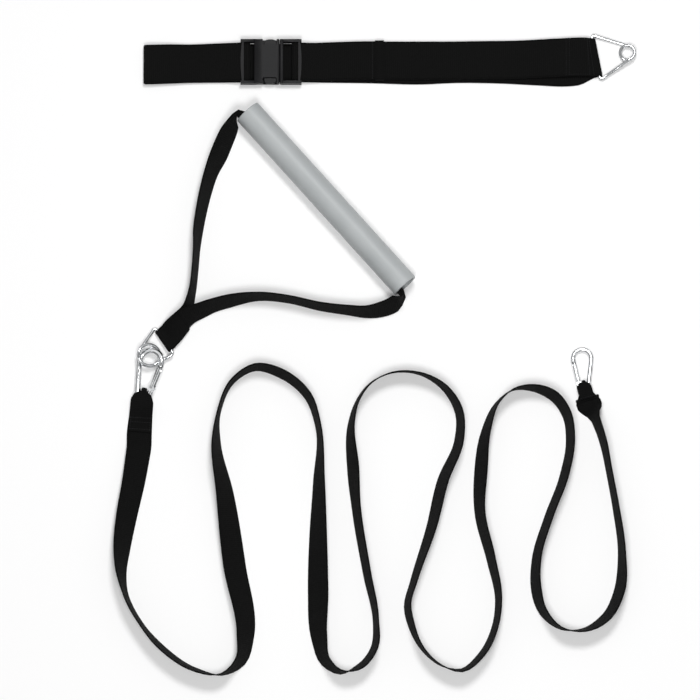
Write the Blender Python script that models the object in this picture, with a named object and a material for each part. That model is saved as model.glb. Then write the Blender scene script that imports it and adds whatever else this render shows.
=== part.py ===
"""Resistance sprint trainer laid out on a floor: waist belt, grip handle and a lead strap with two hooks."""
import math

import bmesh
import bpy
from mathutils import Matrix, Vector

for item in list(bpy.data.objects):
    bpy.data.objects.remove(item, do_unlink=True)

# Fits that every piece shares
CLEARANCE = 0.0003
OVERRUN = 0.001
UP = Vector((0, 0, 1))

# Where the own pieces' middle lies in the layout, which puts the origin under them
LAYOUT_CENTRE_X = 0.04775
LAYOUT_CENTRE_Y = 0.19465

# Waist belt
BELT_WIDTH = 0.050
BELT_THICKNESS = 0.0018
BELT_LEFT = -0.2647
BELT_SPAN = 0.5839
BELT_MIDDLE_Y = 0.3755
BELT_FOLD_SKEW = 10.9
BELT_LEFT_BULGE = 0.0046
BELT_TAIL_UNDER = 0.014
KEEPER_THICKNESS = 0.0010
KEEPER_WIDTH = 0.0115
KEEPER_PLACE_SHARE = 0.518
BULGE_TOP_SHARE = 0.7
# Shares of the belt's span at which its layers are drawn, from left to right or back
LOWER_LAYER_SHARES = (0.05, 0.1, 0.2, 0.3, 0.4, 0.5, 0.6, 0.7, 0.78, 0.86, 0.92, 0.955)
UPPER_LAYER_SHARES = (0.82, 0.74, 0.66, 0.58, 0.5, 0.42)
FOLD_RISE_SHARE = 0.95
FOLD_RISE_PLACE_SHARE = 0.965
FOLD_SETTLE_PLACE_SHARE = 0.90

# Side-release buckle
BUCKLE_PLACE = 0.1244
BUCKLE_LENGTH = 0.0782
BUCKLE_SIDE_REACH = 0.0039
BUCKLE_HEIGHT = 0.0125
SLOT_FRAME_LENGTH = 0.0175
HOUSING_LENGTH = 0.0325
END_BAR_LENGTH = 0.0042
END_BAR_HEIGHT = 0.0026
WRAP_BAR_RADIUS = 0.0015
WRAP_BAR_INSET = 0.0091
SHELL_WALL = 0.0025
HOUSING_END_WALL = 0.0038
SIDE_WALL = 0.0049
WINDOW_LATCH_ROOM = 0.0017
TONGUE_BEAM = 0.0045
PRONG_WIDTH = 0.0140
PRONG_LENGTH = 0.0220
PRONG_HEIGHT = 0.0050
LATCH_PIVOT_INSET = 0.0099
LATCH_ROOT_RADIUS = 0.0025
LATCH_LENGTH = 0.0220
LATCH_BUTTON_START = 0.0014
LATCH_BUTTON_LENGTH = 0.0160
BUTTON_SQUARENESS_SHARE = 0.36
WINDOW_CORNER_RADIUS = 0.0024
BAR_BULGE = 0.0020
BUCKLE_ROUND = 0.0012

# Wire rings with a coiled eye
RING_WIRE_RADIUS = 0.0020
RING_COIL_GAP = 0.0014
RING_CORNER_RADIUS = 0.0030
RING_SIDE_ROOM = 0.0021
RING_BASE_GAP = 0.0048
RING_FULL_TURNS = 1
LEG_ROW_SHARES = (0.15, 0.3, 0.45, 0.6, 0.75, 0.88)
BELT_RING_REACH = 0.0409
BELT_RING_COIL_RADIUS = 0.0093
BELT_RING_COIL_SHIFT = -0.0021
HANDLE_RING_REACH = 0.0268
HANDLE_RING_COIL_RADIUS = 0.01375
HANDLE_RING_COIL_SHIFT = -0.0059
HANDLE_RING_COIL_MIDDLE = 0.0057
HANDLE_RING_COIL_RISE = 0.0065

# Grip handle and its strap
TUBE_LENGTH = 0.3036
TUBE_OUTER_RADIUS = 0.0175
TUBE_WALL = 0.0035
TUBE_RIM_ROUND = 0.0011
TUBE_MIDDLE_X = -0.0304
TUBE_MIDDLE_Y = 0.1953
TUBE_HEADING = -48.3
HANDLE_STRAP_WIDTH = 0.032
HANDLE_STRAP_THICKNESS = 0.0016
LEFT_EXIT = 0.0050
RIGHT_EXIT = 0.0075
LEFT_EXIT_LEAN = 95
RIGHT_EXIT_LEAN = 81
EXIT_CURL_SHARE = 0.35
YOKE_START_LEAN = 50
YOKE_END_LEAN = -6.6
YOKE_TURNED_SHARE = 0.86
YOKE_END_SKEW = -12.1
YOKE_LAYER_GAP = 0.0010
# Along the tube, to its right, and lean in degrees: the first two in tube lengths
LEFT_ARM_SHARES = (
    (-0.0555, 0.7170, 108), (-0.0833, 0.6789, 104), (-0.1399, 0.6151, 103), (-0.1989, 0.5542, 104),
    (-0.2582, 0.4929, 111), (-0.3122, 0.4266, 114), (-0.3635, 0.3566, 117), (-0.4104, 0.2825, 121),
    (-0.4498, 0.1993, 132), (-0.4818, 0.1332, 130), (-0.5040, 0.0760, 116),
)
RIGHT_ARM_SHARES = (
    (0.5260, 0.0790, 58), (0.5060, 0.1420, 62), (0.4691, 0.1988, 71), (0.4221, 0.2419, 76),
    (0.3250, 0.3255, 80), (0.2184, 0.4006, 82), (0.1244, 0.4869, 80), (0.0542, 0.5944, 68),
    (0.0215, 0.6620, 65), (0.0080, 0.7000, 60),
)
YOKE_START_SHARES = (-0.0161, 0.7528)
YOKE_END_SHARES = (-0.0040, 0.9204)
YOKE_ROW_SHARES = (0.08, 0.17, 0.26, 0.35, 0.44, 0.53, 0.62, 0.70, 0.78, 0.86)
# Place along the tube's half length, and lean in degrees
TUBE_ROW_SHARES = ((-1, 94), (-0.6, 92), (-0.2, 90), (0.2, 88), (0.6, 86), (1, 84))
LEAST_CURL = 0.05

# Snap hooks: narrow end, wide end and tilt of each one as it lies
HOOK_TAPER = 9.9
NEAR_HOOK_LENGTH = 0.080
NEAR_HOOK_WIRE_RADIUS = 0.004
NEAR_HOOK_WIDE_RADIUS = 0.0153
NEAR_HOOK_HINGE_PLACE = 0.0185
NEAR_HOOK_GATE_LENGTH = 0.0270
NEAR_HOOK_HEADING = 77.4
NEAR_HOOK_SIDE_SLOPE = 0.37
NEAR_HOOK_COIL_SIDE = 0.0035
NEAR_HOOK_COIL_BACK = 0.0082
FAR_HOOK_LENGTH = 0.060
FAR_HOOK_WIRE_RADIUS = 0.003
FAR_HOOK_WIDE_RADIUS = 0.01175
FAR_HOOK_HINGE_PLACE = 0.0046
FAR_HOOK_GATE_LENGTH = 0.0270
FAR_HOOK_HEADING = 93.3
FAR_HOOK_X = 0.2985
FAR_HOOK_Y = -0.0464
GATE_END_GAP = 0.0006
GATE_STEP = 0.0003
PIN_RADIUS_SHARE = 0.30
TONGUE_THICKNESS_SHARE = 0.75
NOSE_TONGUE_LENGTH_SHARE = 1.1
SPRING_LENGTH_SHARE = 2.2
SPRING_RADIUS_SHARE = 0.36
SPRING_WIRE_SHARE = 0.07
SPRING_TURNS = 6
KNUCKLE_SHARE = 0.86
SUNK_SHARE = 0.8
NECK_WIDTH_SHARE = 0.9
NOSE_TONGUE_WIDTH_SHARE = 0.8
LEAST_FOOT_SHARE = 0.25

# Lead strap, 32 mm webbing laid out in bends, mostly on its edge
LEAD_WIDTH = 0.032
LEAD_THICKNESS = 0.0016
LEAD_STEP = 0.014
NEAR_GATHER_WIDTH = 0.0072
NEAR_GATHER_THICKNESS = 0.0030
NEAR_POCKET_WIDTH = 0.0295
NEAR_POCKET_DEPTH = 0.0150
NEAR_TAIL = 0.040
NEAR_TAIL_HEADING = 85.5
FAR_GATHER_WIDTH = 0.0050
FAR_GATHER_THICKNESS = 0.0026
FAR_POCKET_WIDTH = 0.0185
FAR_POCKET_DEPTH = 0.0072
FAR_TAIL = 0.018
FAR_TAIL_HEADING = 106
# Shape of a sewn end, in shares of its pocket's depth, its tail and the reach round the hook's wire
UNDER_TAIL_SHARE = 1.1
GATHER_START_SHARE = 0.72
SHOULDER_SHARE = 0.6
SHOULDER_WIDTH_SHARE = 0.8
WIRE_SIDE_SHARE = 0.4
FOLD_OUT_SHARE = 0.4
ROUND_WIRE_SHARE = 1.06
POCKET_END_SHARE = 0.7
SLOPE_END_SHARE = 1.7
LONG_TAIL_SHARE = 1.3
TAIL_FLAT_SHARE = 0.8
TAIL_WIDTH_SHARE = 0.95
# x, y and lean in degrees: 0 lies flat to the right, 90 stands on edge, 180 lies flat to the left
LEAD_ROUTE = (
    (-0.2692, -0.127, 14), (-0.2755, -0.168, 26), (-0.2850, -0.217, 37), (-0.2903, -0.255, 49),
    (-0.2913, -0.287, 66), (-0.2845, -0.319, 78),
    (-0.267, -0.352, 78), (-0.238, -0.386, 72), (-0.197, -0.413, 74), (-0.163, -0.419, 86),
    (-0.139, -0.401, 112), (-0.133, -0.368, 133), (-0.147, -0.278, 153), (-0.1595, -0.185, 134),
    (-0.1705, -0.118, 109), (-0.167, -0.080, 95), (-0.149, -0.040, 94), (-0.121, -0.023, 97),
    (-0.088, -0.031, 103), (-0.053, -0.061, 103), (-0.0405, -0.098, 101), (-0.0395, -0.170, 117),
    (-0.0405, -0.240, 134), (-0.0405, -0.312, 144), (-0.0388, -0.372, 128), (-0.031, -0.402, 110),
    (-0.012, -0.416, 92), (0.014, -0.408, 70), (0.031, -0.385, 72), (0.033, -0.350, 78),
    (0.022, -0.290, 74), (0.0082, -0.205, 71), (0.0042, -0.155, 63), (0.0018, -0.095, 75),
    (0.009, -0.068, 80), (0.026, -0.044, 81), (0.054, -0.030, 82), (0.088, -0.031, 86),
    (0.122, -0.051, 98), (0.139, -0.080, 106), (0.139, -0.118, 112), (0.119, -0.168, 118),
    (0.104, -0.229, 115), (0.081, -0.300, 107), (0.0732, -0.330, 105), (0.078, -0.355, 102),
    (0.093, -0.387, 92), (0.117, -0.408, 84), (0.142, -0.414, 75), (0.167, -0.394, 72),
    (0.185, -0.356, 75), (0.189, -0.322, 76), (0.1795, -0.270, 72), (0.1655, -0.210, 67),
    (0.1668, -0.158, 59), (0.1735, -0.105, 68), (0.188, -0.069, 79), (0.208, -0.052, 84),
    (0.235, -0.050, 97), (0.262, -0.062, 107), (0.277, -0.085, 108), (0.281, -0.116, 109),
    (0.273, -0.163, 111), (0.253, -0.217, 111), (0.2375, -0.270, 111), (0.2368, -0.308, 112),
    (0.2455, -0.338, 104), (0.269, -0.360, 87), (0.298, -0.362, 74), (0.327, -0.344, 64),
    (0.342, -0.314, 64), (0.346, -0.264, 74), (0.3385, -0.203, 78), (0.330, -0.156, 79),
    (0.3240, -0.124, 77), (0.3187, -0.1054, 76), (0.3130, -0.0895, 73),
)


def ahead(degrees):
    """Level unit vector along a heading."""
    angle = math.radians(degrees)
    return Vector((math.cos(angle), math.sin(angle), 0))


def right_of(heading):
    return heading.cross(UP).normalized()


def leaning(heading, degrees):
    """Unit vector from a ribbon's ground edge to its other edge."""
    angle = math.radians(degrees)
    return right_of(heading) * math.cos(angle) + UP * math.sin(angle)


def smooth_curve(stations, step, free=2):
    """Read a smooth curve through rows of numbers, about one step apart by their first three numbers.

    Past the free columns, a number stays between those of its two rows.
    """
    count = len(stations)
    spans = [max(math.dist(stations[i][:3], stations[i + 1][:3]), CLEARANCE) for i in range(count - 1)]
    slopes = []
    for i in range(count):
        before = max(i - 1, 0)
        after = min(i, count - 2)
        slope_in = [(b - a) / spans[before] for a, b in zip(stations[before], stations[before + 1])]
        slope_out = [(b - a) / spans[after] for a, b in zip(stations[after], stations[after + 1])]
        total = spans[before] + spans[after]
        slope = [(p * spans[after] + q * spans[before]) / total for p, q in zip(slope_in, slope_out)]
        for column in range(free, len(slope)):
            least = min(abs(slope_in[column]), abs(slope_out[column]))
            turns_back = slope_in[column] * slope_out[column] <= 0
            limited = math.copysign(min(abs(slope[column]), 2 * least), slope[column])
            slope[column] = 0 if turns_back else limited
        slopes.append(slope)
    rows = []
    for i in range(count - 1):
        pieces = max(1, round(spans[i] / step))
        for piece in range(pieces):
            t = piece / pieces
            start = 2 * t ** 3 - 3 * t ** 2 + 1
            leave = (t ** 3 - 2 * t ** 2 + t) * spans[i]
            arrive = (t ** 3 - t ** 2) * spans[i]
            columns = zip(stations[i], stations[i + 1], slopes[i], slopes[i + 1])
            rows.append([start * a + (1 - start) * b + leave * m + arrive * n for a, b, m, n in columns])
    rows.append(list(stations[-1]))
    return rows


def loft(rings, paired=False):
    """Closed mesh through rings of points, with both ends capped.

    A paired loft splits its two broad faces along matching diagonals: a twisted ribbon keeps its thickness.
    """
    bm = bmesh.new()
    rows = [[bm.verts.new(point) for point in ring] for ring in rings]
    sides = len(rings[0])
    for first, second in zip(rows, rows[1:]):
        for i in range(sides):
            j = (i + 1) % sides
            corners = (first[i], first[j], second[j], second[i])
            if not paired:
                bm.faces.new(corners)
                continue
            a, b, c, d = corners if i < sides // 2 else corners[1:] + corners[:1]
            bm.faces.new((a, b, c))
            bm.faces.new((a, c, d))
    bm.faces.new(rows[0])
    bm.faces.new(rows[-1])
    bmesh.ops.recalc_face_normals(bm, faces=bm.faces)
    return bm


def ribbon(stations, columns=1):
    """Webbing through stations of (centre, across, width, thickness, curl in radians)."""
    rings = []
    last = len(stations) - 1
    for i, (centre, across, width, thickness, curl) in enumerate(stations):
        tangent = stations[min(i + 1, last)][0] - stations[max(i - 1, 0)][0]
        normal = across.cross(tangent).normalized()
        low = []
        high = []
        for column in range(columns + 1):
            place = column / columns - 0.5
            if curl:
                radius = width / curl
                angle = place * curl
                point = centre + across * radius * math.sin(angle) + normal * radius * (1 - math.cos(angle))
                outward = normal * math.cos(angle) - across * math.sin(angle)
            else:
                point = centre + across * width * place
                outward = normal
            low.append(point - outward * thickness / 2)
            high.append(point + outward * thickness / 2)
        rings.append(low + high[::-1])
    return loft(rings, paired=True)


def wire(points, radius, sides=8):
    """Round wire along points, with its cross-sections carried along without twist."""
    rings = []
    last = len(points) - 1
    side = None
    for i, point in enumerate(points):
        tangent = (points[min(i + 1, last)] - points[max(i - 1, 0)]).normalized()
        if side is None:
            side = tangent.orthogonal().normalized()
        side = (side - tangent * side.dot(tangent)).normalized()
        other = tangent.cross(side)
        turns = [2 * math.pi * k / sides for k in range(sides)]
        rings.append([point + (side * math.cos(a) + other * math.sin(a)) * radius for a in turns])
    return loft(rings)


def least_gap(points, radius, apart):
    """Least clear distance of a wire to itself, between points that lie some length apart along it."""
    along = [0.0]
    for a, b in zip(points, points[1:]):
        along.append(along[-1] + (b - a).length)
    gaps = [
        (points[i] - points[j]).length
        for i in range(len(points)) for j in range(i + 1, len(points))
        if along[j] - along[i] > apart
    ]
    return min(gaps) - 2 * radius


def box(size_x, size_y, size_z, centre, turn=0):
    bm = bmesh.new()
    bmesh.ops.create_cube(bm, size=1)
    place = Matrix.Translation(centre) @ Matrix.Rotation(turn, 4, 'Z')
    bmesh.ops.transform(bm, matrix=place @ Matrix.Diagonal((size_x, size_y, size_z, 1)), verts=bm.verts)
    return bm


def rod(start, end, radius, sides=24):
    bm = bmesh.new()
    axis = end - start
    bmesh.ops.create_cone(
        bm, cap_ends=True, segments=sides, radius1=radius, radius2=radius, depth=axis.length)
    turn = axis.to_track_quat('Z', 'Y').to_matrix().to_4x4()
    bmesh.ops.transform(bm, matrix=Matrix.Translation((start + end) / 2) @ turn, verts=bm.verts)
    return bm


def plate(outline, low, high):
    """Flat plate with the outline's plan, from one height to another."""
    return loft([[Vector((x, y, low)) for x, y in outline], [Vector((x, y, high)) for x, y in outline]])


def arc(centre_x, centre_y, radius, start, end, pieces):
    """Points on an arc, with its angles in degrees."""
    angles = [math.radians(start + (end - start) * k / pieces) for k in range(pieces + 1)]
    return [(centre_x + radius * math.cos(a), centre_y + radius * math.sin(a)) for a in angles]


def material(name, colour, roughness, metallic):
    made = bpy.data.materials.new(name)
    made.use_nodes = True
    shader = made.node_tree.nodes['Principled BSDF']
    shader.inputs['Base Color'].default_value = (*colour, 1)
    shader.inputs['Roughness'].default_value = roughness
    shader.inputs['Metallic'].default_value = metallic
    return made


def add(name, bm, look=None, origin=None, smooth=40):
    """Object from a mesh in layout places, with its origin where its joint turns."""
    shift = Vector((LAYOUT_CENTRE_X, LAYOUT_CENTRE_Y, 0))
    origin = origin or Vector((0, 0, 0))
    bmesh.ops.translate(bm, vec=-origin, verts=bm.verts)
    mesh = bpy.data.meshes.new(name)
    bm.to_mesh(mesh)
    bm.free()
    made = bpy.data.objects.new(name, mesh)
    made.location = origin - shift
    bpy.context.scene.collection.objects.link(made)
    if look:
        mesh.materials.append(look)
        mesh.shade_smooth()
        mesh.set_sharp_from_angle(angle=math.radians(smooth))
    else:
        made.hide_render = True
        made.display_type = 'WIRE'
    return made


def combine(target, bm, operation):
    """Cut a shape from the target, or join it on."""
    helper = add(target.name + '_' + operation.lower() + '_shape', bm)
    step = target.modifiers.new(operation.lower(), 'BOOLEAN')
    step.operation = operation
    step.solver = 'EXACT'
    step.object = helper


def soften(target, width):
    step = target.modifiers.new('rounding', 'BEVEL')
    step.width = width
    step.segments = 2
    step.limit_method = 'ANGLE'
    step.angle_limit = math.radians(50)


# Heights in the stack of belt layers, all worked out from the webbing and the keeper
LOWER_LAYER_Z = BELT_THICKNESS / 2
LAYER_RISE = BELT_THICKNESS + CLEARANCE
MAIN_LAYER_Z = LOWER_LAYER_Z + LAYER_RISE + KEEPER_THICKNESS + CLEARANCE
TAIL_LAYER_Z = MAIN_LAYER_Z + LAYER_RISE
BUCKLE_BOTTOM = BELT_THICKNESS + CLEARANCE
WRAP_RADIUS = WRAP_BAR_RADIUS + CLEARANCE + BELT_THICKNESS / 2
WRAP_BAR_Z = MAIN_LAYER_Z + WRAP_RADIUS
END_BAR_TOP = WRAP_BAR_Z + WRAP_RADIUS + BELT_THICKNESS / 2 + CLEARANCE + END_BAR_HEIGHT
BUCKLE_LEFT = BELT_LEFT + BUCKLE_PLACE
BUCKLE_RIGHT = BUCKLE_LEFT + BUCKLE_LENGTH
BUCKLE_WIDTH = BELT_WIDTH + 2 * BUCKLE_SIDE_REACH
LATCH_PIVOT_OUT = BUCKLE_WIDTH / 2 - LATCH_PIVOT_INSET
BUCKLE_TOP = BUCKLE_BOTTOM + BUCKLE_HEIGHT
HOUSING_LEFT = BUCKLE_LEFT + SLOT_FRAME_LENGTH
HOUSING_RIGHT = HOUSING_LEFT + HOUSING_LENGTH
TONGUE_LEFT = HOUSING_RIGHT + CLEARANCE
CAVITY_HALF_HEIGHT = BUCKLE_HEIGHT / 2 - SHELL_WALL
BUCKLE_MIDDLE_Z = BUCKLE_BOTTOM + BUCKLE_HEIGHT / 2
RAIL_INNER = BELT_WIDTH / 2 + CLEARANCE
BELT_FOLD_X = BELT_LEFT + BELT_SPAN
RING_FOLD_RADIUS = RING_WIRE_RADIUS + CLEARANCE + BELT_THICKNESS / 2
BELT_RING_Z = LOWER_LAYER_Z + RING_FOLD_RADIUS
BELT_RING_BASE_X = BELT_FOLD_X - RING_FOLD_RADIUS - BELT_THICKNESS / 2
HANDLE_STRAP_LAYER = HANDLE_STRAP_THICKNESS + YOKE_LAYER_GAP
HANDLE_CURL_RADIUS = TUBE_OUTER_RADIUS - TUBE_WALL - CLEARANCE - HANDLE_STRAP_THICKNESS / 2
HANDLE_FOLD_RADIUS = RING_WIRE_RADIUS + CLEARANCE + HANDLE_STRAP_THICKNESS / 2
# Share of the belt's span, and sideways place in belt widths
UPPER_SHIFT_SHARES = (
    (0.0, -0.06), (0.10, -0.03), (0.20, 0.0), (0.36, 0.0), (0.46, 0.046), (0.66, 0.046),
    (0.80, 0.066), (0.88, 0.105), (0.94, 0.150), (1.0, 0.134),
)
LOWER_SHIFT_SHARES = (
    (0.0, -0.06), (0.12, -0.02), (0.30, 0.0), (0.50, -0.030), (0.64, -0.070), (0.72, -0.010),
    (0.80, -0.040), (0.88, -0.090), (0.94, -0.125), (0.965, -0.060), (1.0, 0.134),
)


def shift_at(x, shares):
    """Sideways place of a belt layer, eased between its table's rows."""
    place = min(max((x - BELT_LEFT) / BELT_SPAN, 0), 1)
    for (start, first), (end, second) in zip(shares, shares[1:]):
        if place <= end:
            t = (place - start) / (end - start)
            return BELT_WIDTH * (first + (second - first) * t * t * (3 - 2 * t))
    return BELT_WIDTH * shares[-1][1]


def belt_stations():
    """One strip: housing bar, left fold, lower layer, ring fold, upper layer, tongue bar and tail."""
    left_bar = BUCKLE_LEFT + WRAP_BAR_INSET
    right_bar = BUCKLE_RIGHT - WRAP_BAR_INSET
    under_end_bar = END_BAR_TOP - END_BAR_HEIGHT - CLEARANCE - BELT_THICKNESS / 2
    bulge_x = BELT_LEFT + BELT_LEFT_BULGE + BELT_THICKNESS / 2
    bulge_z = LOWER_LAYER_Z + BELT_LEFT_BULGE
    keeper_x = BELT_LEFT + BELT_SPAN * KEEPER_PLACE_SHARE
    strip = [(left_bar - BELT_TAIL_UNDER - BELT_TAIL_UNDER / 2, LOWER_LAYER_Z + LAYER_RISE)]
    strip.append((left_bar - BELT_TAIL_UNDER / 2, MAIN_LAYER_Z))
    strip += arc(left_bar, WRAP_BAR_Z, WRAP_RADIUS, -90, 90, 6)
    strip.append((BUCKLE_LEFT + END_BAR_LENGTH / 2, under_end_bar))
    strip.append((left_bar - BELT_TAIL_UNDER * 2, TAIL_LAYER_Z + CLEARANCE))
    strip.append((BELT_LEFT + BUCKLE_PLACE / 2, MAIN_LAYER_Z))
    strip.append((BELT_LEFT + BUCKLE_PLACE / 4, bulge_z + BELT_LEFT_BULGE * BULGE_TOP_SHARE))
    strip += arc(bulge_x, bulge_z, BELT_LEFT_BULGE, 90, 270, 8)
    lower = [(BELT_LEFT + BELT_SPAN * share, LOWER_LAYER_Z) for share in LOWER_LAYER_SHARES]
    fold = arc(BELT_RING_BASE_X, BELT_RING_Z, RING_FOLD_RADIUS, -90, 90, 8)
    rise_x = BELT_LEFT + BELT_SPAN * FOLD_RISE_PLACE_SHARE
    settle_x = BELT_LEFT + BELT_SPAN * FOLD_SETTLE_PLACE_SHARE
    upper = [(rise_x, BELT_RING_Z + RING_FOLD_RADIUS * FOLD_RISE_SHARE)]
    upper.append((settle_x, BELT_RING_Z + BELT_THICKNESS))
    upper += [(BELT_LEFT + BELT_SPAN * share, MAIN_LAYER_Z) for share in UPPER_LAYER_SHARES]
    upper.append((BUCKLE_RIGHT, MAIN_LAYER_Z))
    wrap = arc(right_bar, WRAP_BAR_Z, WRAP_RADIUS, 270, 90, 6)
    tail = [(BUCKLE_RIGHT - END_BAR_LENGTH / 2, under_end_bar)]
    tail.append((BUCKLE_RIGHT + BELT_TAIL_UNDER, TAIL_LAYER_Z + BELT_THICKNESS / 2))
    tail += [(BUCKLE_RIGHT + BELT_TAIL_UNDER * 2, TAIL_LAYER_Z), (keeper_x - KEEPER_WIDTH, TAIL_LAYER_Z)]
    tail.append((keeper_x, TAIL_LAYER_Z))
    path = []
    for group, shares in ((strip, UPPER_SHIFT_SHARES), (lower, LOWER_SHIFT_SHARES)):
        path += [(x, shift_at(x, shares), z, 0) for x, z in group]
    fold_shift = BELT_WIDTH * UPPER_SHIFT_SHARES[-1][1]
    path += [(x, fold_shift, z, BELT_FOLD_SKEW) for x, z in fold]
    for group in (upper, wrap, tail):
        path += [(x, shift_at(x, UPPER_SHIFT_SHARES), z, 0) for x, z in group]
    stations = []
    for x, shift, z, skew in smooth_curve(path, BELT_WIDTH / 3, free=0):
        across = Matrix.Rotation(math.radians(skew), 3, 'Z') @ Vector((0, 1, 0))
        stations.append((Vector((x, BELT_MIDDLE_Y + shift, z)), across, BELT_WIDTH, BELT_THICKNESS, 0))
    return stations


def webbing_look(name):
    return material(name, (0.012, 0.012, 0.013), 0.85, 0)


def belt_strap():
    return add('belt_strap', ribbon(belt_stations()), webbing_look('belt_webbing'))


def belt_keeper():
    look = material('keeper_elastic', (0.014, 0.014, 0.015), 0.8, 0)
    x = BELT_LEFT + BELT_SPAN * KEEPER_PLACE_SHARE
    y = BELT_MIDDLE_Y + shift_at(x, UPPER_SHIFT_SHARES)
    inner_height = 2 * BELT_THICKNESS + 3 * CLEARANCE
    z = (MAIN_LAYER_Z + TAIL_LAYER_Z) / 2
    inner_width = BELT_WIDTH + 2 * CLEARANCE
    outer = box(KEEPER_WIDTH, inner_width + 2 * KEEPER_THICKNESS, inner_height + 2 * KEEPER_THICKNESS,
                Vector((x, y, z)))
    keeper = add('belt_keeper', outer, look, Vector((x, y, z)))
    soften(keeper, KEEPER_THICKNESS / 2)
    combine(keeper, box(KEEPER_WIDTH + OVERRUN, inner_width, inner_height, Vector((x, y, z))), 'DIFFERENCE')
    return keeper


def slot_frame(target, inner_x, outer_x):
    """Side rails, an end bar and a wrap bar for webbing, joined onto a buckle half."""
    middle = (inner_x + outer_x) / 2
    length = abs(outer_x - inner_x)
    toward = 1 if outer_x > inner_x else -1
    rail = BUCKLE_WIDTH / 2 - RAIL_INNER
    height = END_BAR_TOP - BUCKLE_BOTTOM
    middle_z = BUCKLE_BOTTOM + height / 2
    root = BUCKLE_ROUND * 2
    for side in (-1, 1):
        y = BELT_MIDDLE_Y + side * (RAIL_INNER + rail / 2)
        centre = Vector((middle - toward * root / 2, y, middle_z))
        combine(target, box(length + root, rail, height, centre), 'UNION')
    span = 2 * RAIL_INNER + rail
    end_bar = [(outer_x - toward * END_BAR_LENGTH, BELT_MIDDLE_Y + side * span / 2) for side in (-1, 1)]
    for across in range(9):
        place = 1 - across / 4
        out = outer_x - toward * BAR_BULGE * place * place
        end_bar.append((out, BELT_MIDDLE_Y + place * span / 2))
    combine(target, plate(end_bar, END_BAR_TOP - END_BAR_HEIGHT, END_BAR_TOP), 'UNION')
    bar_x = outer_x - toward * WRAP_BAR_INSET
    ends = [Vector((bar_x, BELT_MIDDLE_Y + side * span / 2, WRAP_BAR_Z)) for side in (-1, 1)]
    combine(target, rod(ends[0], ends[1], WRAP_BAR_RADIUS, 12), 'UNION')


def buckle_look(name):
    return material(name, (0.015, 0.015, 0.016), 0.38, 0)


def button_outline(side, room, left_room):
    """Inner curve of a latch button's window, or with no room the button's own outer curve."""
    right = TONGUE_LEFT - CLEARANCE - LATCH_ROOT_RADIUS - LATCH_BUTTON_START + room
    left = right - room - LATCH_BUTTON_LENGTH - left_room
    middle = (left + right) / 2
    root_y = LATCH_PIVOT_OUT + LATCH_ROOT_RADIUS
    if room:
        bend = WINDOW_CORNER_RADIUS
        inner = root_y - room + bend
        curve = arc(right - bend, inner, bend, 0, -90, 4) + arc(left + bend, inner, bend, -90, -180, 4)
        return [(x, BELT_MIDDLE_Y + side * y) for x, y in curve]
    depth = BUCKLE_WIDTH / 2 - root_y
    curve = []
    for k in range(13):
        angle = math.pi * k / 12
        out = depth * math.sin(angle) ** BUTTON_SQUARENESS_SHARE
        curve.append((middle + (right - left) / 2 * math.cos(angle), BELT_MIDDLE_Y + side * (root_y + out)))
    return curve


def buckle_housing():
    middle = (HOUSING_LEFT + HOUSING_RIGHT) / 2
    centre = Vector((middle, BELT_MIDDLE_Y, BUCKLE_MIDDLE_Z))
    housing = add('buckle_housing', box(HOUSING_LENGTH, BUCKLE_WIDTH, BUCKLE_HEIGHT, centre),
                  buckle_look('housing_plastic'))
    soften(housing, BUCKLE_ROUND)
    slot_frame(housing, HOUSING_LEFT, BUCKLE_LEFT)
    cavity_left = HOUSING_LEFT + HOUSING_END_WALL
    cavity_length = HOUSING_RIGHT + OVERRUN - cavity_left
    cavity_width = BUCKLE_WIDTH - 2 * SIDE_WALL
    cavity_centre = Vector((cavity_left + cavity_length / 2, BELT_MIDDLE_Y, BUCKLE_MIDDLE_Z))
    combine(housing, box(cavity_length, cavity_width, 2 * CAVITY_HALF_HEIGHT, cavity_centre), 'DIFFERENCE')
    for side in (-1, 1):
        outline = button_outline(side, CLEARANCE, WINDOW_LATCH_ROOM)
        reach = BELT_MIDDLE_Y + side * (BUCKLE_WIDTH / 2 + OVERRUN)
        outline += [(outline[-1][0], reach), (outline[0][0], reach)]
        window = plate(outline, BUCKLE_BOTTOM + SHELL_WALL, BUCKLE_TOP + OVERRUN)
        combine(housing, window, 'DIFFERENCE')
    return housing


def buckle_tongue():
    beam = Vector((TONGUE_LEFT + TONGUE_BEAM / 2, BELT_MIDDLE_Y, BUCKLE_MIDDLE_Z))
    tongue = add('buckle_tongue', box(TONGUE_BEAM, BUCKLE_WIDTH, BUCKLE_HEIGHT, beam),
                 buckle_look('tongue_plastic'))
    soften(tongue, BUCKLE_ROUND)
    slot_frame(tongue, TONGUE_LEFT + TONGUE_BEAM, BUCKLE_RIGHT)
    reach = PRONG_LENGTH + BUCKLE_ROUND * 2
    prong_centre = Vector((TONGUE_LEFT + BUCKLE_ROUND * 2 - reach / 2, BELT_MIDDLE_Y, BUCKLE_MIDDLE_Z))
    combine(tongue, box(reach, PRONG_WIDTH, PRONG_HEIGHT, prong_centre), 'UNION')
    return tongue


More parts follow.
